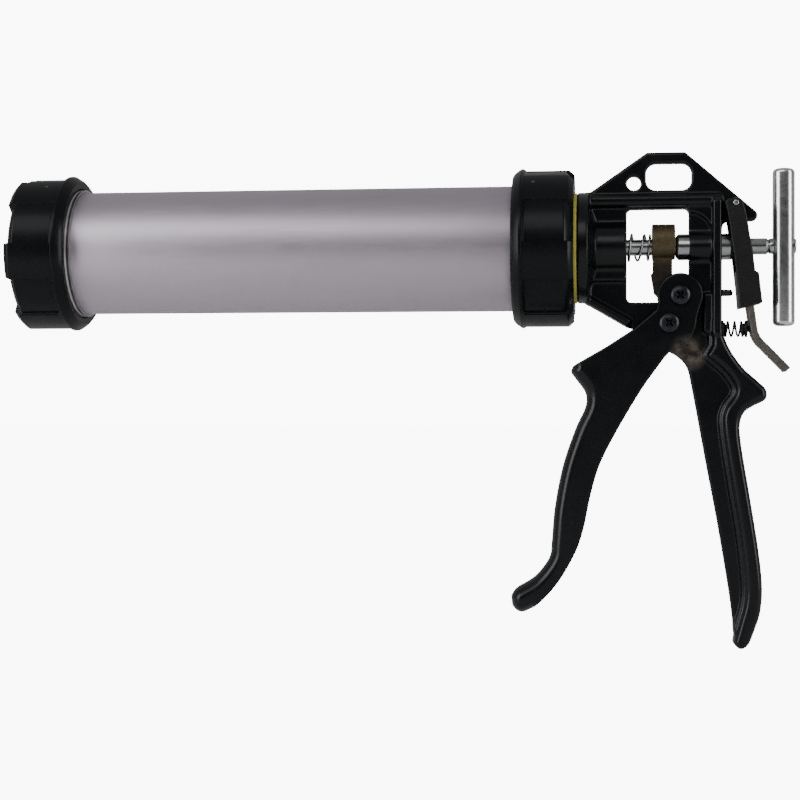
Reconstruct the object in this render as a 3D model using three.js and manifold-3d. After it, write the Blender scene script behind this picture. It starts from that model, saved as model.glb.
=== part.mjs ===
// Barrel caulking gun: a swivelling aluminium barrel with two screw caps, a cast frame with a fixed
// rear handle, a squeezed trigger that drives a gripping block along a smooth push rod, and a release lever.
//
// Units are millimetres, +Z is up, +X points from the nozzle end to the T-handle. While the pieces are
// made, x = 0 is the front face of the frame's collar and the push rod lies on the X axis. The last
// lines move the whole gun so that its origin is under the middle of its bounding box.
import * as THREE from 'three';
import { mergeVertices } from 'three/addons/utils/BufferGeometryUtils.js';
import Module from 'manifold-3d';

const wasm = await Module();
wasm.setup();

// ---------------------------------------------------------------- driving dimensions
const FIT = 0.1;                // gap between faces that touch
const RUN = 0.1;                // radial clearance of a running fit
const CUT_PAST = 1;             // how far a cutting tool runs past the face it opens

const BARREL_R = 27;            // barrel tube, outside
const BARREL_WALL = 2;
const BARREL_LENGTH = 231.6;

const SLEEVE_GAP = 0.05;        // glue film between tube and thread sleeve
const SLEEVE_WALL = 1.2;        // aluminium thread sleeves on both ends of the tube
const SLEEVE_THREAD = 0.5;      // depth of the thread grooves
const SLEEVE_GROOVES = 3;       // relief grooves between the thread's starts
const SLEEVE_PROUD = 1.8;       // how far the front sleeve shows behind the front cap
const SLEEVE_INSET = 0.6;       // how far the rear sleeve stays inside the rear cap

const CAP_BORE_GAP = 0.2;       // from the sleeve's thread crest to the cap's bore
const CAP_LENGTH = 26;
const CAP_FLOOR = 3.7;          // end wall
const CAP_RECESS = 0.9;         // shallow seat in the end wall for the swivel washer
const CAP_LUG_STEP = 5.75;      // from the sleeve's thread crest out to a grip lug
const CAP_RIM_PROUD = 0.35;     // the rim stands this far over the lugs
const CAP_GRIP_DEPTH = 1.25;    // how deep the finger recesses are between the lugs
const CAP_HOLE_R = 12.5;        // nozzle opening, and the rear cap's bearing on the spigot
const CAP_LUGS = 6;
const CAP_LUG_ANGLE = THREE.MathUtils.degToRad(27.5);
const FRONT_LUG_TURN = THREE.MathUtils.degToRad(3.5);
const REAR_LUG_TURN = THREE.MathUtils.degToRad(7.6);
const SEAL_THICKNESS = 1.5;
const SEAL_WIDTH = 5;

const WASHER_THICKNESS = 2;     // yellow swivel washer
const COLLAR_R = 23.8;          // frame's collar
const COLLAR_LENGTH = 4.8;
const SPIGOT_SHANK_R = 8.4;     // threaded part, in the frame
const SPIGOT_DEPTH = 15;
const SPIGOT_FLANGE_R = 20;
const SPIGOT_FLANGE = 2.5;
const THRUST_WASHER = 1;

const ROD_R = 3.5;
const ROD_NOSE = 5.5;           // from the rod's front tip to the front cap's inner face
const ROD_STEM_R = 2.9;         // turned-down end that carries the piston
const TBAR_R = 4.65;
const TBAR_TOP = 33;
const TBAR_BOTTOM = -34;
const TBAR_X = 87.1;

const PISTON_CLEARANCE = 0.4;   // piston to barrel, radial
const PISTON_CUP = 14;
const PISTON_FLOOR = 4;
const PISTON_SKIRT = 2.4;
const PISTON_PLATE = 2;
const PISTON_NUT = 5;

const PAST = 20;                // half length of a tool that cuts right across the gun
const WEB_HALF = 3;             // half thickness of the frame's plate
const GRIP_HALF = 8;            // half width of the handle's grip
const BOSS_R = 10.7;            // front boss
const BOSS_RIB = { half: 5, z: -14.6 };      // ledge under the front boss
const WINDOW = { x0: 21, x1: 47.2, z0: -23.6, z1: 16.2, corner: 2 };
const SLOT = { x0: 29.2, x1: 48.4, z0: 24.3, z1: 35.7, corner: 4.2 };
const CORD_HOLE = { x: 24, z: 27.4, r: 3 };
const FLANGE_BACK = 60.8;       // rear face of the upright flange
const FLANGE_THICKNESS = 3.7;
const REAR_BOSS_R = 6.7;

const BUSH_R = 5.6;
const BUSH_START = 41.7;
const BUSH_END = 66;

const PIVOT = { x: 38.8, z: -32.7 };        // trigger's pivot screw
const DRIVE_PIN = { x: 43.5, z: -20.9 };    // screw that pushes the drive block
const HEAD_R = 9.5;                         // round end of the trigger about the drive pin
const SCREW_R = 2.4;
const SCREW_HEAD_R = 4.4;
const SCREW_HEAD = 2.6;
const ROLLER_R = 3;
const CHEEK_GAP = 0.35;         // frame plate to trigger cheek
const TRIGGER_HALF = 8;

const BLOCK = { x0: 31.7, x1: 41.5, r: 7.6, z: 2.3 };
const BLOCK_LEG = { x0: 32, foot: -21.3, half: 2.8 };
const SPRING_WIRE = 1;
const SPRING_R = 5.6;           // mean radius of the return spring
const SPRING_TURNS = 4;

const LEVER_PIN = { x: 66.7, z: 18, r: 1.25 };
const LEVER_LEAN = THREE.MathUtils.degToRad(8.07);
const BRAKE_THICKNESS = 2.9;
const BRAKE_HALF = 7;
const BRAKE_EYE_R = 2.4;
const COVER_WALL = 1.5;
const COVER_CLEARANCE = 0.3;
const STOP_PIN = { z: -19.7, r: 1.45, end: 65.9 };
const RELEASE_SPRING = { z: -35.1, r: 3.3, wire: 0.5, turns: 3 };
const SEAT_R = 3.6;
const SEAT_THICKNESS = 1.1;

const ROUND = 40;               // facets of a large round piece
const SMALL_ROUND = 16;

// ---------------------------------------------------------------- dependent places along the X axis
const washerFront = -FIT - WASHER_THICKNESS;
const rearFloorOut = washerFront - FIT;                    // bottom of the rear cap's washer seat
const rearFloorIn = rearFloorOut - CAP_FLOOR;
const rearCapEnd = rearFloorOut + CAP_RECESS;
const rearCapMouth = rearCapEnd - CAP_LENGTH;
const tubeRear = rearFloorIn - SEAL_THICKNESS - 2 * FIT;
const tubeFront = tubeRear - BARREL_LENGTH;
const frontFloorIn = tubeFront - SEAL_THICKNESS - 2 * FIT;
const frontCapEnd = frontFloorIn - CAP_FLOOR - CAP_RECESS;
const frontCapMouth = frontCapEnd + CAP_LENGTH;
const sleeveBoreR = BARREL_R + SLEEVE_GAP;
const sleeveR = sleeveBoreR + SLEEVE_WALL;
const capBoreR = sleeveR + CAP_BORE_GAP;
const capLugR = sleeveR + CAP_LUG_STEP;
const cupR = BARREL_R - BARREL_WALL - PISTON_CLEARANCE;
const rodFront = frontFloorIn + ROD_NOSE;
const bossEnd = WINDOW.x0;
const leverDrop = Math.tan(LEVER_LEAN);

// ---------------------------------------------------------------- solids
/** Turns a closed BufferGeometry into a manifold-3d solid whose faces point out. */
function solid(geometry) {
  const bare = geometry.clone();
  for (const name of Object.keys(bare.attributes)) if (name !== 'position') bare.deleteAttribute(name);
  const merged = mergeVertices(bare, 1e-4);
  const p = merged.attributes.position.array;
  const i = merged.index.array;
  const faces = [];
  let volume = 0;
  for (let t = 0; t < i.length; t += 3) {
    const [a, b, c] = [i[t], i[t + 1], i[t + 2]];
    if (a === b || b === c || c === a) continue;
    faces.push([a, b, c]);
    const A = new THREE.Vector3().fromArray(p, 3 * a);
    const B = new THREE.Vector3().fromArray(p, 3 * b);
    volume += A.dot(B.cross(new THREE.Vector3().fromArray(p, 3 * c)));
  }
  if (volume < 0) for (const face of faces) face.reverse();
  const mesh = new wasm.Mesh({
    numProp: 3,
    vertProperties: Float32Array.from(p),
    triVerts: Uint32Array.from(faces.flat()),
  });
  return new wasm.Manifold(mesh);
}

const join = (first, ...rest) => rest.reduce((sum, piece) => sum.add(piece), first);
const cut = (first, ...tools) => tools.reduce((left, tool) => left.subtract(tool), first);

const BASIS = {
  x: new THREE.Matrix4().makeBasis(
    new THREE.Vector3(0, 1, 0), new THREE.Vector3(0, 0, 1), new THREE.Vector3(1, 0, 0)),
  y: new THREE.Matrix4().makeBasis(
    new THREE.Vector3(1, 0, 0), new THREE.Vector3(0, 0, 1), new THREE.Vector3(0, -1, 0)),
};

/** Extrudes a shape along an axis: (y, z) shapes along x, (x, z) shapes along y. */
function extrude(shape, axis, from, to, { bevel = 0, curve = 6 } = {}) {
  const outline = shape.getPoints(curve).filter((p, n, all) => p.distanceTo(all.at(n - 1)) > 1e-3);
  const geometry = new THREE.ExtrudeGeometry(new THREE.Shape(outline), {
    depth: to - from - 2 * bevel,
    steps: 1,
    bevelEnabled: bevel > 0,
    bevelThickness: bevel,
    bevelSize: bevel,
    bevelOffset: -bevel,
    bevelSegments: 1,
  });
  geometry.applyMatrix4(BASIS[axis]);
  const start = axis === 'y' ? to - bevel : from + bevel;
  geometry.translate(axis === 'x' ? start : 0, axis === 'y' ? start : 0, 0);
  return solid(geometry);
}

/** Turns a closed profile of [along the axis, radius] points about an axis through centre. */
function turned(profile, { axis = 'x', centre = [0, 0, 0], facets = ROUND } = {}) {
  const closed = [...profile, profile[0]].map(([along, radius]) => new THREE.Vector2(radius, along));
  const geometry = new THREE.LatheGeometry(closed, facets);
  if (axis === 'x') geometry.rotateZ(-Math.PI / 2);
  if (axis === 'z') geometry.rotateX(Math.PI / 2);
  geometry.translate(...centre);
  return solid(geometry);
}

/** A round bar, or a tube where an inside radius is given, with an optional chamfer on both ends. */
function bar(radius, from, to, { inside = 0, chamfer = 0, ...rest } = {}) {
  return turned([
    [from, inside], [from, radius - chamfer], [from + chamfer, radius],
    [to - chamfer, radius], [to, radius - chamfer], [to, inside],
  ], rest);
}

/** A box from its low corner to its high corner. */
function box([x0, y0, z0], [x1, y1, z1]) {
  const geometry = new THREE.BoxGeometry(x1 - x0, y1 - y0, z1 - z0);
  geometry.translate((x0 + x1) / 2, (y0 + y1) / 2, (z0 + z1) / 2);
  return solid(geometry);
}

/** A rectangle with rounded corners. */
function roundedRect({ x0, x1, z0, z1, corner }) {
  const shape = new THREE.Shape();
  shape.moveTo(x0 + corner, z0);
  shape.lineTo(x1 - corner, z0);
  shape.absarc(x1 - corner, z0 + corner, corner, -Math.PI / 2, 0);
  shape.lineTo(x1, z1 - corner);
  shape.absarc(x1 - corner, z1 - corner, corner, 0, Math.PI / 2);
  shape.lineTo(x0 + corner, z1);
  shape.absarc(x0 + corner, z1 - corner, corner, Math.PI / 2, Math.PI);
  shape.lineTo(x0, z0 + corner);
  shape.absarc(x0 + corner, z0 + corner, corner, Math.PI, 1.5 * Math.PI);
  return shape;
}

/** A closed straight-sided shape. */
function polygon(points) {
  return new THREE.Shape(points.map(([a, b]) => new THREE.Vector2(a, b)));
}

const points2 = (list) => list.map(([a, b]) => new THREE.Vector2(a, b));

/** A wire coiled about a line parallel to X. */
function coil({ from, to, z, radius, wire, turns, stepsPerTurn = 10, sides = 5 }) {
  class Helix extends THREE.Curve {
    getPoint(t) {
      const turn = 2 * Math.PI * turns * t;
      return new THREE.Vector3(
        from + (to - from) * t, radius * Math.sin(turn), z + radius * Math.cos(turn));
    }
  }
  const section = new THREE.Shape();
  section.absarc(0, 0, wire / 2, 0, 2 * Math.PI);
  return solid(new THREE.ExtrudeGeometry(section, {
    steps: turns * stepsPerTurn,
    curveSegments: sides,
    extrudePath: new Helix(),
  }));
}

// ---------------------------------------------------------------- barrel
function barrelTube() {
  return bar(BARREL_R, tubeFront, tubeRear, { inside: BARREL_R - BARREL_WALL });
}

/** A thread sleeve: a thin ring whose outside carries shallow grooves. */
function threadSleeve(from, to) {
  const root = sleeveR - SLEEVE_THREAD;
  const profile = [[from, sleeveBoreR], [from, sleeveR]];
  const step = (to - from) / (SLEEVE_GROOVES + 1);
  for (let n = 1; n <= SLEEVE_GROOVES; n += 1) {
    const middle = from + step * n;
    const half = step / 4;
    profile.push([middle - half, sleeveR], [middle, root], [middle + half, sleeveR]);
  }
  profile.push([to, sleeveR], [to, sleeveBoreR]);
  return turned(profile);
}

function sealRing(from) {
  return bar(BARREL_R, from, from + SEAL_THICKNESS, { inside: BARREL_R - SEAL_WIDTH });
}

/** A screw cap. It is drawn with its mouth at s = 0; out is +1 or -1, the way its closed end faces. */
function screwCap(mouth, out, lugTurn) {
  const rim = capLugR + CAP_RIM_PROUD;
  const at = (s) => mouth + out * s;
  const body = turned([
    [at(0), capBoreR], [at(0), rim - 2.9], [at(3.5), rim], [at(4.4), rim],
    [at(4.8), capLugR], [at(CAP_LENGTH - 2.2), capLugR], [at(CAP_LENGTH), capLugR - 2],
    [at(CAP_LENGTH), BARREL_R - 2.8], [at(CAP_LENGTH - CAP_RECESS), BARREL_R - 2.8],
    [at(CAP_LENGTH - CAP_RECESS), CAP_HOLE_R],
    [at(CAP_LENGTH - CAP_RECESS - CAP_FLOOR), CAP_HOLE_R],
    [at(CAP_LENGTH - CAP_RECESS - CAP_FLOOR), capBoreR],
  ]);
  const pitch = 2 * Math.PI / CAP_LUGS;
  const gap = pitch - CAP_LUG_ANGLE;
  const [near, far] = [at(5.4), at(CAP_LENGTH - 3)].sort((a, b) => a - b);
  const recesses = [];
  for (let n = 0; n < CAP_LUGS; n += 1) {
    const middle = Math.PI + lugTurn + pitch * (n + 0.5);
    const sector = new THREE.Shape();
    sector.absarc(0, 0, rim + CUT_PAST, middle - gap / 2, middle + gap / 2);
    sector.absarc(0, 0, capLugR - CAP_GRIP_DEPTH, middle + gap / 2, middle - gap / 2, true);
    recesses.push(extrude(sector, 'x', near, far, { curve: 4 }));
  }
  return cut(body, ...recesses);
}

// ---------------------------------------------------------------- swivel
function swivelWasher() {
  return bar(COLLAR_R - 0.1, washerFront, -FIT, { inside: CAP_HOLE_R + RUN });
}

function thrustWasher() {
  const to = rearFloorIn - FIT;
  return bar(SPIGOT_FLANGE_R, to - THRUST_WASHER, to, { inside: CAP_HOLE_R + RUN });
}

/** Flanged hollow bolt: it screws into the frame, carries the rear cap and guides the rod. */
function swivelSpigot() {
  const flangeBack = rearFloorIn - 2 * FIT - THRUST_WASHER;
  const flangeFront = flangeBack - SPIGOT_FLANGE;
  const bearing = CAP_HOLE_R - RUN;
  const body = turned([
    [flangeFront, ROD_R + RUN], [flangeFront, SPIGOT_FLANGE_R], [flangeBack, SPIGOT_FLANGE_R],
    [flangeBack, bearing], [-FIT, bearing], [-FIT, SPIGOT_SHANK_R],
    [SPIGOT_DEPTH - 1, SPIGOT_SHANK_R], [SPIGOT_DEPTH, SPIGOT_SHANK_R - 1], [SPIGOT_DEPTH, ROD_R + RUN],
  ]);
  const spannerHoles = [-1, 1].map((side) => bar(1.6, flangeFront - CUT_PAST, flangeBack + CUT_PAST,
    { centre: [0, 15.5 * side, 0], facets: 12 }));
  return cut(body, ...spannerHoles);
}

// ---------------------------------------------------------------- frame and rear handle
const HANDLE_BACK = [
  [70.6, -53.1], [76.6, -58.4], [79.2, -61.3], [78.9, -65], [74.3, -67.5], [70.3, -70.3], [68.3, -75.5],
  [68.9, -85], [72.5, -106.9], [75.9, -128.4], [77.5, -144], [76.8, -154.8], [74.4, -162.7],
  [71.6, -169.3], [68.7, -171.4], [66, -168.7],
];

/** Side view of the frame's plate: hanging plate, window frame and the rear handle's web. */
function frameOutline() {
  const shape = new THREE.Shape();
  shape.moveTo(COLLAR_LENGTH - 0.6, 23);
  shape.lineTo(29.5, 40.5);
  shape.lineTo(45.7, 40.5);
  shape.lineTo(75.3, 14.9);
  shape.absarc(73.7, 13.1, 2.4, 0.857, -Math.PI / 2, true);
  shape.lineTo(FLANGE_BACK + 3.8, 10.7);
  shape.absarc(FLANGE_BACK + 3.8, 6.9, 3.8, Math.PI / 2, Math.PI);
  shape.lineTo(FLANGE_BACK, -35);
  shape.quadraticCurveTo(FLANGE_BACK + 1.6, -44, HANDLE_BACK[0][0], HANDLE_BACK[0][1]);
  shape.splineThru(points2(HANDLE_BACK.slice(1)));
  shape.lineTo(66.3, -165.5);
  shape.splineThru(points2([[63.9, -146.2], [59, -116.8], [54.2, -91.3], [50.3, -69.8]]));
  shape.lineTo(47.4, -54.5);
  shape.quadraticCurveTo(46.3, -48.4, 39.2, -45);
  shape.lineTo(23.6, -35.3);
  shape.lineTo(COLLAR_LENGTH - 0.6, -24);
  return shape;
}

/** Side view of the thick grip along the back of the rear handle. */
function gripOutline() {
  const shape = new THREE.Shape();
  shape.moveTo(FLANGE_BACK - FLANGE_THICKNESS, -33);
  shape.lineTo(FLANGE_BACK, -35);
  shape.quadraticCurveTo(FLANGE_BACK + 1.6, -44, HANDLE_BACK[0][0], HANDLE_BACK[0][1]);
  shape.splineThru(points2(HANDLE_BACK.slice(1)));
  shape.splineThru(points2([
    [68.6, -160.5], [71.4, -151], [71.3, -141], [68.7, -121], [64.8, -98], [61.8, -77],
    [62.6, -69.5], [67.4, -61.5], [63, -53.5],
  ]));
  shape.lineTo(54.6, -46.6);
  shape.lineTo(FLANGE_BACK - FLANGE_THICKNESS, -42);
  return shape;
}

function frame() {
  const plate = extrude(frameOutline(), 'y', -WEB_HALF, WEB_HALF, { bevel: 0.6, curve: 2 });
  const grip = extrude(gripOutline(), 'y', -GRIP_HALF, GRIP_HALF, { bevel: 1.3, curve: 2 });
  const frontEnd = turned([
    [0, 0], [0, COLLAR_R - 0.5], [0.5, COLLAR_R], [COLLAR_LENGTH, COLLAR_R], [COLLAR_LENGTH + 0.6, 17.2],
    [COLLAR_LENGTH + 3, BOSS_R], [bossEnd, BOSS_R], [bossEnd, 0],
  ]);
  const bossRib = box([COLLAR_LENGTH, -BOSS_RIB.half, BOSS_RIB.z], [bossEnd, BOSS_RIB.half, 0]);
  const rearBoss = bar(REAR_BOSS_R, WINDOW.x1, FLANGE_BACK, { facets: 32 });
  const flangeFront = FLANGE_BACK - FLANGE_THICKNESS;
  const flange = box([flangeFront, -GRIP_HALF, -38], [FLANGE_BACK, GRIP_HALF, 19.6]);
  const rail = extrude(roundedRect({ x0: -6.5, x1: 6.5, z0: 17.4, z1: 22, corner: 2 }), 'x',
    COLLAR_LENGTH - 1, FLANGE_BACK + 0.4);
  const footRib = box([flangeFront - 3.8, -6, -36], [flangeFront + CUT_PAST, 6, -20.2]);
  const lowerRib = extrude(polygon([[4, -20.6], [4, -24.1], [21.4, -34.2], [22.8, -31.4]]), 'y', -6, 6);
  const body = join(plate, grip, frontEnd, bossRib, rearBoss, flange, rail, footRib, lowerRib);

  const across = (shape, curve = 6) => extrude(shape, 'y', -PAST, PAST, { curve });
  const relief = {
    x0: DRIVE_PIN.x - ROLLER_R - 0.6, x1: WINDOW.x1,
    z0: DRIVE_PIN.z - ROLLER_R - 0.6, z1: DRIVE_PIN.z, corner: 1,
  };
  const screwHole = bar(SCREW_R + RUN, -PAST, PAST,
    { axis: 'y', centre: [PIVOT.x, 0, PIVOT.z], facets: SMALL_ROUND });
  const pinHole = bar(LEVER_PIN.r + 0.05, -PAST, PAST,
    { axis: 'y', centre: [LEVER_PIN.x, 0, LEVER_PIN.z], facets: SMALL_ROUND });
  const cordHole = bar(CORD_HOLE.r, -PAST, PAST,
    { axis: 'y', centre: [CORD_HOLE.x, 0, CORD_HOLE.z], facets: SMALL_ROUND });
  const stopHole = bar(STOP_PIN.r + 0.05, flangeFront - 2, FLANGE_BACK + CUT_PAST,
    { centre: [0, 0, STOP_PIN.z], facets: SMALL_ROUND });
  const seatHole = turned([
    [FLANGE_BACK - 2.5, 0], [FLANGE_BACK - 2.5, SEAT_R - 0.95], [FLANGE_BACK, SEAT_R - 0.95],
    [FLANGE_BACK, SEAT_R + 0.2], [FLANGE_BACK + 5, SEAT_R + 0.2], [FLANGE_BACK + 5, 0],
  ], { centre: [0, 0, RELEASE_SPRING.z], facets: SMALL_ROUND });
  const spigotBore = turned([
    [-CUT_PAST, 0], [-CUT_PAST, SPIGOT_SHANK_R + RUN], [SPIGOT_DEPTH + FIT, SPIGOT_SHANK_R + RUN],
    [SPIGOT_DEPTH + FIT, ROD_R + 0.5], [bossEnd + CUT_PAST, ROD_R + 0.5], [bossEnd + CUT_PAST, 0],
  ], { facets: 32 });
  const bushBore = bar(BUSH_R + 0.05, WINDOW.x1 - CUT_PAST, FLANGE_BACK + CUT_PAST, { facets: 32 });
  return cut(body, across(roundedRect(WINDOW)), across(roundedRect(SLOT)), across(roundedRect(relief)),
    screwHole, pinHole, cordHole, stopHole, seatHole, spigotBore, bushBore);
}

function guideBush() {
  return bar(BUSH_R, BUSH_START, BUSH_END, { inside: ROD_R + RUN, chamfer: 1, facets: 32 });
}

function stopPin() {
  const { z, r, end } = STOP_PIN;
  const start = FLANGE_BACK - FLANGE_THICKNESS - 1.9;
  return turned([[start, 0], [start, r], [end - 1, r], [end - 0.3, r * 0.7], [end, r * 0.3], [end, 0]],
    { centre: [0, 0, z], facets: SMALL_ROUND });
}

// ---------------------------------------------------------------- plunger
/** Round rod: a stem for the piston at the front, a riveted-over stem in the T-bar at the back. */
function pushRod() {
  const shoulder = rodFront + PISTON_NUT + 2 * PISTON_PLATE + PISTON_FLOOR + 5 * FIT + 0.5;
  const seat = TBAR_X - TBAR_R;
  const back = TBAR_X + TBAR_R;
  return turned([
    [rodFront, 0], [rodFront, ROD_STEM_R - 0.5], [rodFront + 0.5, ROD_STEM_R],
    [shoulder, ROD_STEM_R], [shoulder, ROD_R],
    [seat - 2, ROD_R], [seat - 1.4, ROD_R - 0.6], [seat - 1, ROD_R - 0.2], [seat - FIT, ROD_R - 0.2],
    [seat - FIT, 2.4], [back + FIT, 2.4], [back + FIT, 3.6], [back + 0.4, 3], [back + 0.6, 0],
  ], { facets: 32 });
}

function tBar() {
  const rod = bar(TBAR_R, TBAR_BOTTOM, TBAR_TOP,
    { axis: 'z', centre: [TBAR_X, 0, 0], chamfer: 0.6, facets: 32 });
  return cut(rod, bar(2.4 + RUN, TBAR_X - 10, TBAR_X + 10, { facets: 32 }));
}

function pistonNut() {
  const from = rodFront + 0.5;
  const body = bar(5.7, from, from + PISTON_NUT, { facets: 6 });
  return cut(body, bar(ROD_STEM_R + 0.05, from - CUT_PAST, from + PISTON_NUT + CUT_PAST, { facets: 32 }));
}

function pistonPlate(from, radius) {
  return bar(radius, from, from + PISTON_PLATE, { inside: ROD_STEM_R + RUN, facets: 24 });
}

/** Cup with its skirt towards the T-handle; the floor is clamped between the two plates. */
function pistonCup(from) {
  return turned([
    [from, ROD_STEM_R + RUN], [from, cupR - 1.5], [from + 1.5, cupR - 0.4], [from + 2.5, cupR - 0.4],
    [from + PISTON_CUP - 3, cupR - 0.8], [from + PISTON_CUP, cupR],
    [from + PISTON_CUP, cupR - PISTON_SKIRT + 1],
    [from + PISTON_FLOOR, cupR - PISTON_SKIRT - 0.4], [from + PISTON_FLOOR, ROD_STEM_R + RUN],
  ]);
}

// ---------------------------------------------------------------- drive
/** Gripping block: an eccentric round body on the rod with a leg down to the drive pin. */
function driveBlock() {
  const { x0, x1, r, z } = BLOCK;
  const legBack = DRIVE_PIN.x - ROLLER_R - 0.2;
  const body = bar(r, x0, x1, { centre: [0, 0, z], chamfer: 0.6, facets: 48 });
  const leg = extrude(polygon([
    [BLOCK_LEG.x0, z], [BLOCK_LEG.x0, -11], [BLOCK_LEG.x0 - 0.9, -11.7], [BLOCK_LEG.x0 + 0.6, -19.8],
    [BLOCK_LEG.x0 + 2, BLOCK_LEG.foot], [legBack - 1, BLOCK_LEG.foot], [legBack, BLOCK_LEG.foot + 1],
    [legBack, z],
  ]), 'y', -BLOCK_LEG.half, BLOCK_LEG.half);
  return cut(join(body, leg), bar(ROD_R + 2 * RUN, x0 - CUT_PAST, x1 + CUT_PAST, { facets: 32 }));
}

function returnSpring() {
  const inset = SPRING_WIRE / 2 + 0.15;
  return coil({
    from: bossEnd + inset, to: BLOCK.x0 - inset, z: 0,
    radius: SPRING_R, wire: SPRING_WIRE, turns: SPRING_TURNS,
  });
}

/** Pan-head screw across the gun with a cross recess, head towards -Y. */
function panScrew(at, length) {
  const face = -TRIGGER_HALF - FIT;
  const body = turned([
    [face - SCREW_HEAD, 0], [face - SCREW_HEAD, SCREW_HEAD_R * 0.55],
    [face - SCREW_HEAD * 0.8, SCREW_HEAD_R * 0.85],
    [face - SCREW_HEAD * 0.4, SCREW_HEAD_R], [face, SCREW_HEAD_R], [face, SCREW_R],
    [face + length - 0.5, SCREW_R], [face + length, SCREW_R - 0.5], [face + length, 0],
  ], { axis: 'y', centre: [at.x, 0, at.z], facets: SMALL_ROUND });
  const bladeTop = face - SCREW_HEAD - CUT_PAST;
  const bladeFloor = face - SCREW_HEAD + 1.6;
  const blades = [[2, 0.45], [0.45, 2]].map(([w, h]) =>
    box([at.x - w, bladeTop, at.z - h], [at.x + w, bladeFloor, at.z + h]));
  return cut(body, ...blades);
}

function hexNut(at) {
  const face = TRIGGER_HALF + FIT;
  const body = bar(4.6, face, face + 3.6, { axis: 'y', centre: [at.x, 0, at.z], facets: 6 });
  return cut(body, bar(SCREW_R + 0.05, face - CUT_PAST, face + 5,
    { axis: 'y', centre: [at.x, 0, at.z], facets: SMALL_ROUND }));
}

function driveRoller() {
  const half = WEB_HALF + CHEEK_GAP - FIT;
  return bar(ROLLER_R, -half, half, {
    axis: 'y', centre: [DRIVE_PIN.x, 0, DRIVE_PIN.z], inside: SCREW_R + 0.05, facets: SMALL_ROUND,
  });
}

/** Side view of the trigger: round head, neck, finger horn and the curved finger grip. */
function triggerOutline() {
  const shape = new THREE.Shape();
  shape.moveTo(23.6, -35.3);
  shape.lineTo(33.4, -27);
  shape.absarc(DRIVE_PIN.x, DRIVE_PIN.z, HEAD_R, Math.PI + 0.3, -0.35, true);
  shape.splineThru(points2([[50.6, -30], [49.9, -34.8], [47, -40.2], [39.2, -45]]));
  shape.splineThru(points2([
    [32.8, -53], [26, -62.9], [16.2, -79.7], [9.4, -93.5], [5.4, -107.4], [2.5, -121.3], [-1.5, -132.2],
    [-9.4, -145.2], [-19.3, -155.3], [-24.2, -157.1], [-27.9, -154.6], [-28.7, -149.8],
  ]));
  shape.splineThru(points2([
    [-26.2, -146.4], [-18.3, -141.3], [-12.3, -133.4], [-11.2, -126.4], [-9.9, -111.5], [-6.4, -93.6],
    [-1, -77.7], [3.2, -68.5], [3.3, -62.6], [-0.3, -57.2], [-2.9, -53.4], [-2, -50.8],
  ]));
  shape.lineTo(12.3, -42.6);
  return shape;
}

/** The hollow between the trigger's cheeks: open at the back, clear of the frame's plate when squeezed. */
function triggerHollow() {
  return polygon([
    [60, 5], [20, 5], [22.4, -35.6], [27, -38.8], [5.6, -52.2], [8.2, -59.5], [8.6, -67.5], [3.9, -79.5],
    [-1.5, -95], [-5, -112], [-6.6, -127], [-5, -132.5], [-1, -134.5], [60, -134.5],
  ]);
}

function trigger() {
  const body = extrude(triggerOutline(), 'y', -TRIGGER_HALF, TRIGGER_HALF, { bevel: 1.2, curve: 2 });
  const gap = WEB_HALF + CHEEK_GAP;
  const holes = [PIVOT, DRIVE_PIN].map((at) => bar(SCREW_R + RUN, -PAST, PAST,
    { axis: 'y', centre: [at.x, 0, at.z], facets: SMALL_ROUND }));
  return cut(body, extrude(triggerHollow(), 'y', -gap, gap), ...holes);
}

// ---------------------------------------------------------------- release lever
const leverX = (z) => LEVER_PIN.x + leverDrop * (LEVER_PIN.z - z);   // middle of the brake plate at a height

/** Side view of a strip of even thickness along a chain of points. */
function strip(chain, thickness) {
  const left = [];
  const right = [];
  chain.forEach((p, n) => {
    const before = p.clone().sub(chain[Math.max(n - 1, 0)]).normalize();
    const after = chain[Math.min(n + 1, chain.length - 1)].clone().sub(p).normalize();
    const along = before.add(after).normalize();
    const side = new THREE.Vector2(-along.y, along.x).multiplyScalar(thickness / 2);
    left.push(p.clone().add(side));
    right.unshift(p.clone().sub(side));
  });
  return new THREE.Shape([...left, ...right]);
}

/** Steel plate that grips the rod, forked at the top about the frame's hook, bent to a thumb tab below. */
function brakePlate() {
  const bend = new THREE.Vector2(leverX(-39.5), -39.5);
  const kneeTop = new THREE.Vector2(leverX(-36), -36);
  const knee = new THREE.QuadraticBezierCurve(kneeTop, bend, new THREE.Vector2(78.3, -42.4));
  const chain = [
    new THREE.Vector2(LEVER_PIN.x, LEVER_PIN.z), ...knee.getPoints(5), new THREE.Vector2(88.5, -52.9),
  ];
  const eye = bar(BRAKE_EYE_R, -BRAKE_HALF, BRAKE_HALF,
    { axis: 'y', centre: [LEVER_PIN.x, 0, LEVER_PIN.z], facets: SMALL_ROUND });
  const body = join(extrude(strip(chain, BRAKE_THICKNESS), 'y', -BRAKE_HALF, BRAKE_HALF), eye);
  const forkHalf = WEB_HALF + COVER_CLEARANCE;
  const fork = box([55, -forkHalf, 8.7], [85, forkHalf, 25]);
  const pinHole = bar(LEVER_PIN.r + RUN, -PAST, PAST,
    { axis: 'y', centre: [LEVER_PIN.x, 0, LEVER_PIN.z], facets: SMALL_ROUND });
  const rodHole = bar(ROD_R + 0.6, 60, 80, { facets: 32 });
  const seatHole = bar(1.7, 66, 80, { centre: [0, 0, RELEASE_SPRING.z], facets: 16 });
  return cut(body, fork, pinHole, rodHole, seatHole);
}

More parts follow.
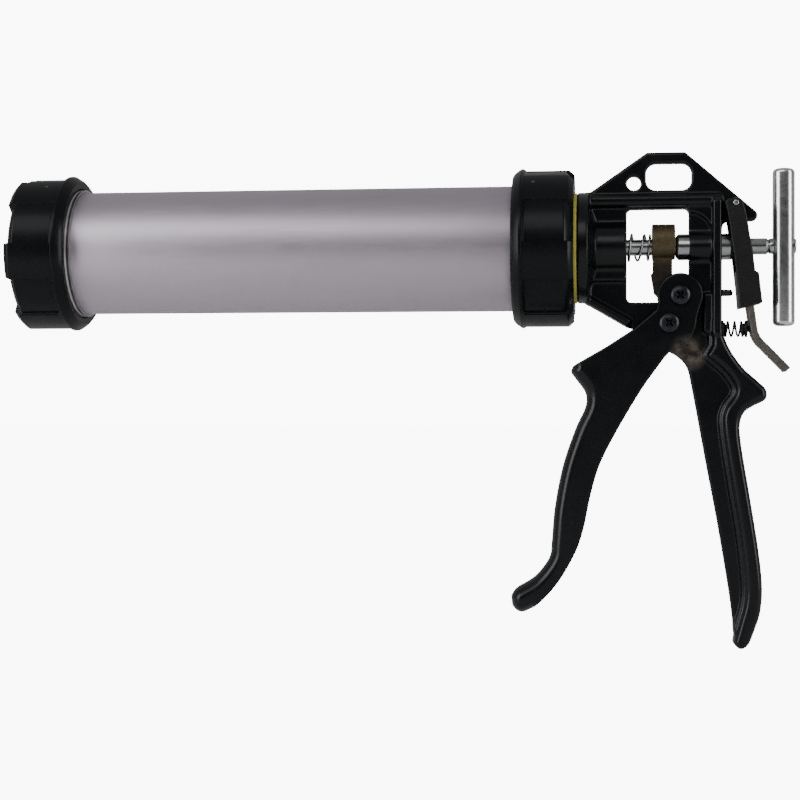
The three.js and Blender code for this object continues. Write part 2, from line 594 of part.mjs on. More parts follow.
/** Moulded cover over the brake plate: two cheeks and a back above, a closed socket below. */
function leverCover() {
  const outline = new THREE.Shape();
  outline.moveTo(68.1, -26.6);
  outline.lineTo(77.7, -24.3);
  outline.lineTo(76.2, -11.6);
  outline.lineTo(74.7, -10.9);
  outline.splineThru(points2([[73.5, -1.5], [72.5, 3.9], [71.2, 12], [69.6, 18.2]]));
  outline.quadraticCurveTo(68.9, 20, 66.5, 20);
  outline.lineTo(63.4, 19.6);
  outline.quadraticCurveTo(61.9, 19.2, 62.3, 17.6);
  outline.splineThru(points2([[63.6, 11], [64.7, 3.5], [65.8, -4.2], [67.2, -16.6]]));
  const half = BRAKE_HALF + COVER_CLEARANCE + COVER_WALL;
  const inside = BRAKE_HALF + COVER_CLEARANCE;
  const body = extrude(outline, 'y', -half, half, { curve: 2 });
  const back = BRAKE_THICKNESS / 2 / Math.cos(LEVER_LEAN) + COVER_CLEARANCE;
  const channel = extrude(polygon([
    [55, 25], [leverX(25) + back, 25], [leverX(-11) + back, -11], [55, -11],
  ]), 'y', -inside, inside);
  const socket = extrude(polygon([
    [leverX(-10) - back, -10], [leverX(-10) + back, -10], [leverX(-30) + back, -30],
    [leverX(-30) - back, -30],
  ]), 'y', -inside, inside);
  const forkHalf = WEB_HALF + COVER_CLEARANCE;
  const hookRoom = box([55, -forkHalf, 8.7], [85, forkHalf, 25]);
  const pinHole = bar(LEVER_PIN.r + RUN, -PAST, PAST,
    { axis: 'y', centre: [LEVER_PIN.x, 0, LEVER_PIN.z], facets: SMALL_ROUND });
  const eyeRoom = bar(BRAKE_EYE_R + COVER_CLEARANCE, -inside, inside,
    { axis: 'y', centre: [LEVER_PIN.x, 0, LEVER_PIN.z], facets: SMALL_ROUND });
  const rodHole = bar(ROD_R + 0.9, 60, 85, { facets: 32 });
  return cut(body, channel, socket, hookRoom, eyeRoom, pinHole, rodHole);
}

function leverPin() {
  const half = BRAKE_HALF + COVER_CLEARANCE + COVER_WALL - 0.1;
  return bar(LEVER_PIN.r, -half, half,
    { axis: 'y', centre: [LEVER_PIN.x, 0, LEVER_PIN.z], facets: SMALL_ROUND });
}

/** Seat pressed into the back of the frame's flange for the release spring. */
function frameSeat() {
  const face = FLANGE_BACK + FIT;
  return turned([
    [FLANGE_BACK - 2.4, 0], [FLANGE_BACK - 2.4, SEAT_R - 1], [face, SEAT_R - 1], [face, SEAT_R],
    [face + SEAT_THICKNESS, SEAT_R], [face + SEAT_THICKNESS, 2.4], [face + 2 * SEAT_THICKNESS, 2.2],
    [face + 2 * SEAT_THICKNESS, 0],
  ], { centre: [0, 0, RELEASE_SPRING.z], facets: SMALL_ROUND });
}

/** Seat riveted to the brake plate for the other end of the release spring. */
function leverSeat() {
  const face = leverX(RELEASE_SPRING.z) - BRAKE_THICKNESS / 2 - 0.9;
  return turned([
    [face - 2 * SEAT_THICKNESS, 0], [face - 2 * SEAT_THICKNESS, 2.2], [face - SEAT_THICKNESS, 2.4],
    [face - SEAT_THICKNESS, SEAT_R], [face, SEAT_R], [face, 1.4], [face + 3, 1.4], [face + 3, 0],
  ], { centre: [0, 0, RELEASE_SPRING.z], facets: SMALL_ROUND });
}

function releaseSpring() {
  const from = FLANGE_BACK + FIT + SEAT_THICKNESS + RELEASE_SPRING.wire / 2 + 0.1;
  const to = leverX(RELEASE_SPRING.z) - BRAKE_THICKNESS / 2 - 0.9 - SEAT_THICKNESS
    - RELEASE_SPRING.wire / 2 - 0.1;
  return coil({
    from, to, z: RELEASE_SPRING.z, radius: RELEASE_SPRING.r, wire: RELEASE_SPRING.wire,
    turns: RELEASE_SPRING.turns, sides: 4,
  });
}

// ---------------------------------------------------------------- materials
const material = (color, roughness, metalness) =>
  new THREE.MeshStandardMaterial({ color, roughness, metalness });
const blackPlastic = material(0x0c0e0f, 0.3, 0);
const blackCasting = material(0x141718, 0.42, 0.1);
const anodised = material(0xa59ea5, 0.35, 1);
const brightAluminium = material(0xc9ccd0, 0.3, 1);
const zincSteel = material(0xb9bcc0, 0.25, 1);
const brownBronze = material(0x8a6f47, 0.5, 0.8);
const darkSteel = material(0x1c1f22, 0.4, 0.8);
const dullSteel = material(0x8f8a80, 0.5, 0.9);
const yellowPlastic = material(0xc9bd2e, 0.5, 0);
const blackRubber = material(0x101010, 0.8, 0);
const whitePlastic = material(0xd9d6cc, 0.5, 0);

// ---------------------------------------------------------------- assembly
/** Makes the named mesh of a solid. */
function piece(name, shape, look) {
  const { vertProperties, triVerts } = shape.getMesh();
  const geometry = new THREE.BufferGeometry();
  geometry.setAttribute('position', new THREE.BufferAttribute(new Float32Array(vertProperties), 3));
  geometry.setIndex(new THREE.BufferAttribute(new Uint32Array(triVerts), 1));
  geometry.computeVertexNormals();
  const mesh = new THREE.Mesh(geometry, look);
  mesh.name = name;
  return mesh;
}

function barrelGroup() {
  const group = new THREE.Group();
  group.add(
    piece('barrel_tube', barrelTube(), anodised),
    piece('front_thread_sleeve', threadSleeve(tubeFront + 1, frontCapMouth + SLEEVE_PROUD), brightAluminium),
    piece('rear_thread_sleeve', threadSleeve(rearCapMouth + SLEEVE_INSET, tubeRear - 1), brightAluminium),
    piece('front_seal_ring', sealRing(frontFloorIn + FIT), blackRubber),
    piece('rear_seal_ring', sealRing(tubeRear + FIT), blackRubber),
    piece('front_cap', screwCap(frontCapMouth, -1, FRONT_LUG_TURN), blackPlastic),
    piece('rear_cap', screwCap(rearCapMouth, 1, REAR_LUG_TURN), blackPlastic),
    piece('swivel_washer', swivelWasher(), yellowPlastic),
    piece('thrust_washer', thrustWasher(), whitePlastic),
  );
  return group;
}

function frameGroup() {
  const group = new THREE.Group();
  group.add(
    piece('frame', frame(), blackCasting),
    piece('swivel_spigot', swivelSpigot(), zincSteel),
    piece('guide_bush', guideBush(), zincSteel),
    piece('stop_pin', stopPin(), darkSteel),
    piece('pivot_screw', panScrew(PIVOT, 2 * TRIGGER_HALF + 5), darkSteel),
    piece('pivot_nut', hexNut(PIVOT), darkSteel),
    piece('lever_pin', leverPin(), zincSteel),
    piece('release_spring_seat', frameSeat(), blackPlastic),
    piece('return_spring', returnSpring(), zincSteel),
    piece('release_spring', releaseSpring(), darkSteel),
  );
  return group;
}

function plungerGroup() {
  const group = new THREE.Group();
  const frontPlate = rodFront + 0.5 + PISTON_NUT + FIT;
  const cup = frontPlate + PISTON_PLATE + FIT;
  const backPlate = cup + PISTON_FLOOR + FIT;
  group.add(
    piece('push_rod', pushRod(), zincSteel),
    piece('t_bar', tBar(), zincSteel),
    piece('piston_nut', pistonNut(), zincSteel),
    piece('piston_front_plate', pistonPlate(frontPlate, 12), zincSteel),
    piece('piston_cup', pistonCup(cup), blackPlastic),
    piece('piston_back_plate', pistonPlate(backPlate, 19), zincSteel),
  );
  return group;
}

function driveGroup() {
  const group = new THREE.Group();
  group.add(
    piece('trigger', trigger(), blackCasting),
    piece('drive_screw', panScrew(DRIVE_PIN, 2 * TRIGGER_HALF + 5), darkSteel),
    piece('drive_nut', hexNut(DRIVE_PIN), darkSteel),
    piece('drive_roller', driveRoller(), zincSteel),
    piece('drive_block', driveBlock(), brownBronze),
    piece('lever_cover', leverCover(), blackPlastic),
    piece('brake_plate', brakePlate(), dullSteel),
    piece('lever_spring_seat', leverSeat(), blackPlastic),
  );
  return group;
}

const gun = new THREE.Group();
gun.add(barrelGroup(), frameGroup(), plungerGroup(), driveGroup());
const extent = new THREE.Box3().setFromObject(gun);
gun.position.set(-(extent.min.x + extent.max.x) / 2, 0, -extent.min.z);

export default gun;
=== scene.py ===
"""Barrel caulking gun: fine surfaces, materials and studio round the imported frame.

Sizes are gun millimetres: x = 0 is the front face of the frame's collar, the push rod lies on the
X axis, +X points to the T-handle and +Z is up. metres() moves such points to the row frame.
"""
import math

import bmesh
import bpy
import numpy as np
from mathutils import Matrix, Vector


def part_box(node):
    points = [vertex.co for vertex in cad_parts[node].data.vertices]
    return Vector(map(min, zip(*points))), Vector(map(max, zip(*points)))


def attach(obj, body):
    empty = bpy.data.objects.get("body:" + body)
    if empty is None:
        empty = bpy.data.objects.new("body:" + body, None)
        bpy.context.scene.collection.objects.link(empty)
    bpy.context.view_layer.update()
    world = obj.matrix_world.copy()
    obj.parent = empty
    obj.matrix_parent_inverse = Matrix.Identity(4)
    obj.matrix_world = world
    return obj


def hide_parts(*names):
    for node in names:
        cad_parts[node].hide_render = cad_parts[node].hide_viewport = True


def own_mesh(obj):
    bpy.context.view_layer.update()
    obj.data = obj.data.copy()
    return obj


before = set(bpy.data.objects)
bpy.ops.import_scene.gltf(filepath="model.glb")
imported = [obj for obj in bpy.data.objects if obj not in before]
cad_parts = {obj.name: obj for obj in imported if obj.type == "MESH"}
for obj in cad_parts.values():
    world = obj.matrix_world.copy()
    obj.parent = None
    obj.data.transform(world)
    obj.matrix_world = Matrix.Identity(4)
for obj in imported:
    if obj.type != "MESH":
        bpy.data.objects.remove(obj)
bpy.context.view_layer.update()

# ------------------------ places
MM = 0.001
frame_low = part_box("frame")[0]
tube_low, tube_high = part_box("barrel_tube")
ORIGIN = np.array([frame_low.x, 0.0, (tube_low.z + tube_high.z) / 2])


def metres(points):
    """Gun millimetres to row-frame metres."""
    return np.asarray(points, float) * MM + ORIGIN


def span(node):
    """Lowest and highest corner of a CAD node in gun millimetres."""
    low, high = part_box(node)
    return (np.array(low) - ORIGIN) / MM, (np.array(high) - ORIGIN) / MM


# ------------------------ sizes shared by several pieces
TURN = 2 * math.pi
WEB_HALF = 3.0  # half thickness of the frame's plate and web
GRIP_HALF = 8.0  # half width of both grips
CHEEK_GAP = 0.35  # between the web and a cheek of the trigger
BARREL_R = span("barrel_tube")[1][2]
COLLAR_R = span("swivel_washer")[1][2] + 0.1
COLLAR_LENGTH = 4.8
BOSS_R = 10.7
WINDOW = (21.0, 47.2, -23.6, 16.2)  # low and high x, low and high z
SLOT = (29.2, 48.4, 24.3, 35.7)
FLANGE_FRONT, FLANGE_BACK = 57.1, 60.8  # the post that the lever leans on
ROD_R = 3.5
ROD_STEM = 2.9  # the rod's thinner end, in the piston
WASHER_BORE = 12.6
BLOCK_FRONT = 31.7
PIVOT = (38.8, -32.7)
DRIVE_PIN = (43.5, -20.9)
SCREW_R = 2.4
LEVER_PIN = (66.7, 18.0)
LEVER_PIN_BORE = 1.35
LEVER_DROP = math.tan(math.radians(8.07))  # lean of the brake plate
LEVER_SPRING_Z = -35.1
SEAT_STEP = 1.1  # a spring seat's flange, and its nipple
STOP_PIN_Z = -19.7


def lever_x(z):
    """Middle of the brake plate at a height."""
    return LEVER_PIN[0] + LEVER_DROP * (LEVER_PIN[1] - z)


# ------------------------ curves
def spline(points, steps=6):
    """Catmull-Rom curve through points, without the last one."""
    p = np.array(points, float)
    p = np.vstack([2 * p[0] - p[1], p, 2 * p[-1] - p[-2]])
    t = np.linspace(0, 1, steps, endpoint=False)[:, None]
    out = []
    for a, b, c, d in zip(p, p[1:], p[2:], p[3:]):
        out.append(0.5 * (2 * b + (c - a) * t + (2 * a - 5 * b + 4 * c - d) * t ** 2
                          + (3 * b - a - 3 * c + d) * t ** 3))
    return [tuple(q) for q in np.vstack(out)]


def arc(centre, radius, start, end, steps=10):
    """Points of an arc, angles in degrees."""
    return [(centre[0] + radius * math.cos(a), centre[1] + radius * math.sin(a))
            for a in np.radians(np.linspace(start, end, steps))]


def bend(a, corner, b, steps=6):
    """Quadratic curve from a to b drawn to a corner."""
    a, corner, b = (np.array(p, float) for p in (a, corner, b))
    return [tuple((1 - t) ** 2 * a + 2 * t * (1 - t) * corner + t * t * b)
            for t in np.linspace(0, 1, steps)]


def soften(profile, radius, steps=3):
    """Rounds the corners of a closed profile that lie off the axis."""
    out = []
    p = [np.array(q, float) for q in profile]
    for before, here, after in zip(p[-1:] + p[:-1], p, p[1:] + p[:1]):
        if here[1] < 1e-6:
            out.append(tuple(here))
            continue
        back, ahead = before - here, after - here
        cut = min(radius, 0.4 * np.linalg.norm(back), 0.4 * np.linalg.norm(ahead))
        start = here + back / np.linalg.norm(back) * cut
        end = here + ahead / np.linalg.norm(ahead) * cut
        out += bend(start, here, end, steps)
    return out


# ------------------------ meshes
# Pieces of the zinc_steel slot that are duller than the rest in the photo.
ROD_STEEL = ("rod", "bush", "block_spring")


def add_piece(name, points, faces, slot, body, nodes, angle=None, normals=None, edge=None):
    """A mesh piece in the row frame that stands for CAD nodes and rides on a body."""
    mesh = bpy.data.meshes.new(name)
    faces = faces.tolist() if isinstance(faces, np.ndarray) else faces
    mesh.from_pydata(metres(points).tolist(), [], faces)
    mesh.polygons.foreach_set("use_smooth", np.ones(len(mesh.polygons), bool))
    if angle is not None:
        b = bmesh.new()
        b.from_mesh(mesh)
        bmesh.ops.remove_doubles(b, verts=b.verts, dist=1e-7)
        bmesh.ops.recalc_face_normals(b, faces=b.faces)
        b.to_mesh(mesh)
        b.free()
        mesh.set_sharp_from_angle(angle=math.radians(angle))
    if edge is not None:
        values = mesh.attributes.new("edge", "FLOAT", "POINT").data
        values.foreach_set("value", edge.astype(np.float32))
    if normals is not None:
        mesh.normals_split_custom_set_from_vertices(normals.tolist())
    piece = bpy.data.objects.new(name, mesh)
    bpy.context.scene.collection.objects.link(piece)
    mesh.materials.append(MATERIALS["rod_steel" if name in ROD_STEEL else slot])
    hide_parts(*nodes)
    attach(piece, body)
    return piece


def turned(name, profile, slot, body, nodes, axis="x", centre=(0, 0, 0), segments=128, rounding=0.15):
    """Turns a closed profile of (along, radius) points about an axis."""
    p = np.array(soften(profile, rounding))
    turn = np.linspace(0, TURN, segments, endpoint=False)
    ring = p[:, 1][:, None]
    a, b = ring * np.cos(turn), ring * np.sin(turn)
    along = np.repeat(p[:, 0][:, None], segments, 1)
    order = {"x": (along, a, b), "y": (a, along, b), "z": (a, b, along)}[axis]
    points = np.stack(order, -1).reshape(-1, 3) + np.array(centre)
    return add_piece(name, points, grid_faces(len(p), segments), slot, body, nodes, angle=38)


def washer(name, node, bore, slot, body, **finish):
    """A plain ring, as long and as wide as its CAD node."""
    low, high = span(node)
    profile = [(low[0], bore), (low[0], high[2]), (high[0], high[2]), (high[0], bore)]
    turned(name, profile, slot, body, [node], **finish)


def grid_faces(rows, columns):
    """Quads of a grid closed both ways."""
    i, j = np.meshgrid(np.arange(rows), np.arange(columns), indexing="ij")
    i2, j2 = (i + 1) % rows, (j + 1) % columns
    quads = np.stack([i * columns + j, i2 * columns + j, i2 * columns + j2, i * columns + j2], -1)
    return quads.reshape(-1, 4)


def sweep(name, path, radius, slot, body, nodes, sides=10):
    """A round wire along a path, with domed ends."""
    path = np.array(path)
    tangent = np.gradient(path, axis=0)
    tangent /= np.linalg.norm(tangent, axis=1)[:, None]
    normal = np.cross(tangent, (1.0, 0.0, 0.0))
    normal /= np.linalg.norm(normal, axis=1)[:, None]
    other = np.cross(tangent, normal)
    turn = np.linspace(0, TURN, sides, endpoint=False)[:, None]
    scale = np.full(len(path), radius)
    scale[[0, -1]] = radius * 0.35
    ring = normal[:, None, :] * np.cos(turn) + other[:, None, :] * np.sin(turn)
    points = (path[:, None, :] + ring * scale[:, None, None]).reshape(-1, 3)
    faces = []
    for i in range(len(path) - 1):
        for j in range(sides):
            here, beside = i * sides + j, i * sides + (j + 1) % sides
            faces.append([here, beside, beside + sides, here + sides])
    faces += [list(range(sides))[::-1], [(len(path) - 1) * sides + j for j in range(sides)]]
    return add_piece(name, points, faces, slot, body, nodes, angle=60)


# ------------------------ distance fields
class Outline:
    """Signed distance to a closed outline, kept on a fine grid and read between its points."""

    def __init__(self, points, pad=14.0, step=0.3):
        p = np.array(points, float)
        self.low = p.min(0) - pad
        self.step = step
        size = ((p.max(0) + pad - self.low) / step).astype(int) + 2
        u = (self.low[0] + np.arange(size[0]) * step)[:, None]
        v = (self.low[1] + np.arange(size[1]) * step)[None, :]
        best = np.full(size, 1e9)
        sign = np.ones(size)
        for (ax, ay), (bx, by) in zip(p, np.roll(p, -1, 0)):
            ex, ey = bx - ax, by - ay
            if ex * ex + ey * ey < 1e-9:
                continue
            t = np.clip(((u - ax) * ex + (v - ay) * ey) / (ex * ex + ey * ey), 0, 1)
            best = np.minimum(best, (u - ax - ex * t) ** 2 + (v - ay - ey * t) ** 2)
            above = (v >= ay) != (v >= by)
            if ey != 0:
                crossing = above & (u < ax + ex * (v - ay) / ey)
                sign = np.where(crossing, -sign, sign)
        self.grid = (np.sqrt(best) * sign).astype(np.float32)

    def __call__(self, u, v):
        a = np.clip((u - self.low[0]) / self.step, 0, self.grid.shape[0] - 1.001)
        b = np.clip((v - self.low[1]) / self.step, 0, self.grid.shape[1] - 1.001)
        i, j = a.astype(int), b.astype(int)
        s, t = (a - i).astype(np.float32), (b - j).astype(np.float32)
        g = self.grid
        return ((g[i, j] * (1 - s) + g[i + 1, j] * s) * (1 - t)
                + (g[i, j + 1] * (1 - s) + g[i + 1, j + 1] * s) * t)


def join(a, b, k=0.0):
    """Union of two fields, blended over k millimetres."""
    if not k:
        return np.minimum(a, b)
    h = np.maximum(k - np.abs(a - b), 0) / k
    return np.minimum(a, b) - h * h * (k / 4)


def meet(a, b, k=0.0):
    """What two fields share."""
    return -join(-a, -b, k)


def cut(a, b, k=0.0):
    """The first field without the second."""
    return meet(a, -b, k)


def slab(side, y, half, rounding):
    """An outline's field made a plate of a half thickness, its edges rounded."""
    a, b = side + rounding, np.abs(y) - half + rounding
    return (np.hypot(np.maximum(a, 0), np.maximum(b, 0)) - rounding
            + np.minimum(np.maximum(a, b), 0))


def block(x, y, z, low, high, rounding=0.0):
    """A box with rounded edges."""
    q = [np.abs(c - (a + b) / 2) - (b - a) / 2 + rounding for c, a, b in zip((x, y, z), low, high)]
    outside = np.sqrt(sum(np.maximum(c, 0) ** 2 for c in q))
    return outside + np.minimum(np.maximum(np.maximum(q[0], q[1]), q[2]), 0) - rounding


def rect(u, v, box, corner):
    """A rectangle with rounded corners in a plane."""
    a = np.abs(u - (box[0] + box[1]) / 2) - (box[1] - box[0]) / 2 + corner
    b = np.abs(v - (box[2] + box[3]) / 2) - (box[3] - box[2]) / 2 + corner
    return np.hypot(np.maximum(a, 0), np.maximum(b, 0)) + np.minimum(np.maximum(a, b), 0) - corner


def rod(u, v, centre, radius):
    """A round bar without end, seen along itself."""
    return np.hypot(u - centre[0], v - centre[1]) - radius


def between(x, low, high):
    """Everything between two planes."""
    return np.abs(x - (low + high) / 2) - (high - low) / 2


CORNERS = np.array([(i, j, k) for i in (0, 1) for j in (0, 1) for k in (0, 1)])
EDGES = [(a, b) for a in range(8) for b in range(a + 1, 8)
         if np.abs(CORNERS[a] - CORNERS[b]).sum() == 1]


def read_field(field, places):
    """The field between its samples, at places counted in samples."""
    base = np.clip(np.floor(places).astype(int), 0, np.array(field.shape) - 2)
    part = places - base
    total = np.zeros(len(places))
    for corner in CORNERS:
        weight = np.prod(np.where(corner, part, 1 - part), 1)
        total += weight * field[tuple((base + corner).T)]
    return total


def slope(field, places, reach=0.7):
    """Gradient of the field, in units per sample."""
    out = np.empty_like(places)
    for axis in range(3):
        shift = np.zeros(3)
        shift[axis] = reach
        rise = read_field(field, places + shift) - read_field(field, places - shift)
        out[:, axis] = rise / (2 * reach)
    return out


def skin(field):
    """Quads round the zero surface of a sampled field, one point in each cell that it crosses."""
    inside = field < 0
    count = np.zeros(np.array(field.shape) - 1, np.uint8)
    for i, j, k in CORNERS:
        count += inside[i:i + count.shape[0], j:j + count.shape[1], k:k + count.shape[2]]
    cells = np.argwhere((count > 0) & (count < 8))
    number = np.full(count.shape, -1, np.int64)
    number[tuple(cells.T)] = np.arange(len(cells))
    values = np.stack([field[tuple((cells + c).T)] for c in CORNERS], 1).astype(float)
    total, hits = np.zeros((len(cells), 3)), np.zeros(len(cells))
    for a, b in EDGES:
        va, vb = values[:, a], values[:, b]
        crossed = (va < 0) != (vb < 0)
        t = np.where(crossed, va / np.where(crossed, va - vb, 1), 0)
        total += crossed[:, None] * (CORNERS[a] + t[:, None] * (CORNERS[b] - CORNERS[a]))
        hits += crossed
    places = cells + total / hits[:, None]
    quads = []
    for axis in range(3):
        u, v = [(1, 2), (2, 0), (0, 1)][axis]
        low, high = [slice(None)] * 3, [slice(None)] * 3
        low[axis], high[axis] = slice(None, -1), slice(1, None)
        starts = np.argwhere(inside[tuple(low)] != inside[tuple(high)])
        ring = []
        for du, dv in ((-1, -1), (0, -1), (0, 0), (-1, 0)):
            c = starts.copy()
            c[:, u] += du
            c[:, v] += dv
            ring.append(number[tuple(c.T)])
        quad = np.stack(ring, 1)
        outward = inside[tuple(starts.T)]
        quad[~outward] = quad[~outward][:, ::-1]
        quads.append(quad)
    return places, np.vstack(quads)


MARGIN = 0.8  # room round a piece's CAD box in which its surface is looked for


def formed(name, shape, low, high, step, slot, body, nodes, mirrored=True):
    """A cast or moulded piece: the zero surface of shape(x, y, z) in a box.

    The field's slope gives the normals. The attribute "edge" is 1 on sharp outer edges, for worn paint.
    """
    x = np.arange(low[0], high[0], step, np.float32)[:, None, None]
    z = np.arange(low[2], high[2], step, np.float32)[None, None, :]
    if mirrored:
        y = ((np.arange(math.ceil(high[1] / step)) + 0.5) * step).astype(np.float32)
        half = shape(x, y[None, :, None], z)
        field = np.concatenate([half[:, ::-1], half], 1)
        start = np.array([low[0], -y[-1], low[2]])
    else:
        y = np.arange(low[1], high[1], step, np.float32)
        field = shape(x, y[None, :, None], z)
        start = np.array(low, float)
    field = np.ascontiguousarray(field, np.float32)
    places, quads = skin(field)
    for _ in range(2):
        grade = slope(field, places)
        size = np.maximum((grade ** 2).sum(1), 1e-6)
        move = grade * (read_field(field, places) / size)[:, None]
        places -= np.clip(move, -0.5, 0.5)
    grade = slope(field, places)
    normals = grade / np.maximum(np.linalg.norm(grade, axis=1), 1e-9)[:, None]
    reach = 1.5
    around = sum(read_field(field, places + sign * reach * row)
                 for row in np.eye(3) for sign in (-1, 1))
    edge = np.clip((around - 6 * read_field(field, places)) / (reach * reach * step) * 0.5, 0, 1)
    return add_piece(name, places * step + start, quads, slot, body, nodes, normals=normals, edge=edge)


# ------------------------ materials
MATERIALS = {}


class Nodes:
    """Adds nodes to a tree. Colours are (red, green, blue) or one grey."""

    def __init__(self, tree):
        self.tree = tree

    def node(self, kind, inputs=(), **settings):
        """A node with settings and with (input, value) pairs, a value being a socket or a constant."""
        made = self.tree.nodes.new(kind)
        for key, value in settings.items():
            setattr(made, key, value)
        for key, value in inputs:
            if isinstance(value, bpy.types.NodeSocket):
                self.link(value, made.inputs[key])
            else:
                made.inputs[key].default_value = value
        return made

    def link(self, source, target):
        self.tree.links.new(source, target)

    def ramp(self, value, *stops):
        """A colour or grey ramp of (position, colour) stops."""
        made = self.node("ShaderNodeValToRGB")
        elements = made.color_ramp.elements
        while len(elements) < len(stops):
            elements.new(0.5)
        for element, (position, colour) in zip(elements, stops):
            grey = isinstance(colour, (int, float))
            element.position = position
            element.color = (colour, colour, colour, 1) if grey else (*colour, 1)
        self.link(value, made.inputs[0])
        return made.outputs["Color"]

    def mix(self, share, a, b):
        """Two colours mixed."""
        a, b = (c if isinstance(c, bpy.types.NodeSocket) else (*c, 1) for c in (a, b))
        return self.node("ShaderNodeMix", ((0, share), (6, a), (7, b)), data_type="RGBA").outputs[2]

    def blend(self, share, a, b):
        """Two shaders mixed."""
        return self.node("ShaderNodeMixShader", ((0, share), (1, a), (2, b))).outputs[0]

    def math(self, operation, a, b):
        return self.node("ShaderNodeMath", ((0, a), (1, b)), operation=operation).outputs[0]

    def times(self, a, b):
        return self.math("MULTIPLY", a, b)

    def spread(self, value, low, high, first=0.0, last=1.0, **settings):
        """Runs from first to last while a value runs from low to high."""
        made = self.node("ShaderNodeMapRange", (("Value", value), ("From Min", low), ("From Max", high),
                                                ("To Min", first), ("To Max", last)), **settings)
        return made.outputs["Result"]

    def seen(self):
        """1 where the camera looks at something directly."""
        return self.node("ShaderNodeLightPath").outputs["Is Camera Ray"]


class Surface(Nodes):
    """A material of MATERIALS, patterned in the piece's own coordinates (metres, at rest)."""

    def __init__(self, name, metallic, roughness, **inputs):
        self.material = MATERIALS[name] = bpy.data.materials.new(name)
        self.material.use_nodes = True
        super().__init__(self.material.node_tree)
        self.shader = self.tree.nodes["Principled BSDF"]
        self.shader.inputs["Metallic"].default_value = metallic
        self.shader.inputs["Roughness"].default_value = roughness
        for key, value in inputs.items():
            self.shader.inputs[key.replace("_", " ")].default_value = value
        self.place = self.node("ShaderNodeTexCoord").outputs["Object"]

    def noise(self, size_mm, detail=3.0, roughness=0.55, stretch=(1, 1, 1)):
        """Noise whose features are about size_mm across, longer along the axes stretched under 1."""
        place = self.node("ShaderNodeMapping", (("Vector", self.place), ("Scale", stretch))).outputs[0]
        return self.node("ShaderNodeTexNoise", (
            ("Vector", place), ("Scale", 1 / (size_mm * MM)), ("Detail", detail),
            ("Roughness", roughness))).outputs["Fac"]

    def near(self, point_mm, radius_mm, soft_mm):
        """1 near a point of the gun, falling to 0 past a radius."""
        gap = self.node("ShaderNodeVectorMath", ((0, self.place), (1, metres(point_mm))),
                        operation="DISTANCE").outputs["Value"]
        return self.spread(gap, radius_mm * MM, (radius_mm + soft_mm) * MM, 1.0, 0.0,
                           interpolation_type="SMOOTHSTEP")

    def weigh(self, a, b, share):
        """A share of one pattern and the rest of another."""
        return self.math("ADD", self.times(a, share), self.times(b, 1 - share))

    def colour(self, socket):
        self.link(socket, self.shader.inputs["Base Color"])

    def rough(self, value, low, high):
        """Roughness that runs from low to high with a pattern."""
        self.link(self.ramp(value, (0.3, low), (0.7, high)), self.shader.inputs["Roughness"])

    def bump(self, height, strength, depth_mm):
        made = self.node("ShaderNodeBump", (("Strength", strength), ("Distance", depth_mm * MM),
                                            ("Height", height)))
        self.link(made.outputs["Normal"], self.shader.inputs["Normal"])


def anodised_aluminium():
    """Satin anodised tube: fine grain along it, a faint cloudiness and a few handling marks."""
    s = Surface("anodised_aluminium", 1.0, 0.4)
    cloud = s.noise(26, 4, 0.6, (0.5, 1, 1))
    grain = s.noise(0.5, 2, 0.6, (0.03, 1, 1))
    tone = s.ramp(cloud, (0.3, (0.5, 0.45, 0.517)), (0.7, (0.55, 0.495, 0.565)))
    marks = s.ramp(s.noise(3.5, 5, 0.7, (0.12, 1, 1)), (0.7, 0.0), (0.78, 1.0))
    tone = s.mix(s.times(marks, 0.25), tone, (0.36, 0.34, 0.36))
    s.colour(s.mix(s.times(grain, 0.35), tone, (0.62, 0.567, 0.635)))
    s.rough(grain, 0.4, 0.5)
    s.bump(grain, 0.12, 0.02)


def bright_metal(name, tone, dark, low, high, grain_stretch=(1, 1, 1)):
    """Bare or plated metal: fine turning or drawing lines, faint stains."""
    s = Surface(name, 1.0, (low + high) / 2)
    stain = s.noise(5, 5, 0.65)
    lines = s.noise(0.35, 2, 0.5, grain_stretch)
    s.colour(s.ramp(stain, (0.35, dark), (0.6, tone)))
    s.rough(s.weigh(stain, lines, 0.5), low, high)
    s.bump(lines, 0.15, 0.015)


def moulded_plastic(name, tone, worn, low, high, relief=0.03, gloss=0.35, glint_spots=()):
    """Moulded black plastic: faint texture, rubbed lighter in places, fine scratches, and pale spots at
    given points that are painted highlights standing in for a lamp's glint.
    """
    s = Surface(name, 0.0, (low + high) / 2, Specular_IOR_Level=gloss)
    patch = s.noise(9, 5, 0.65)
    fine = s.noise(0.7, 3, 0.6)
    scratch = s.ramp(s.noise(2.2, 6, 0.75, (1, 0.15, 1)), (0.64, 0.0), (0.7, 1.0))
    base = s.mix(s.times(patch, 0.6), tone, worn)
    base = s.mix(s.times(scratch, 0.35), base, tuple(3 * c for c in worn))
    # Painted highlight: each pale spot stands in for a glint of the lamp on the cap.
    for glint_spot in glint_spots:
        base = s.mix(s.near(glint_spot, 0.6, 0.9), base, (0.3, 0.3, 0.3))
    s.colour(base)
    s.rough(s.weigh(patch, fine, 0.7), low, high)
    s.bump(fine, 0.2, relief)


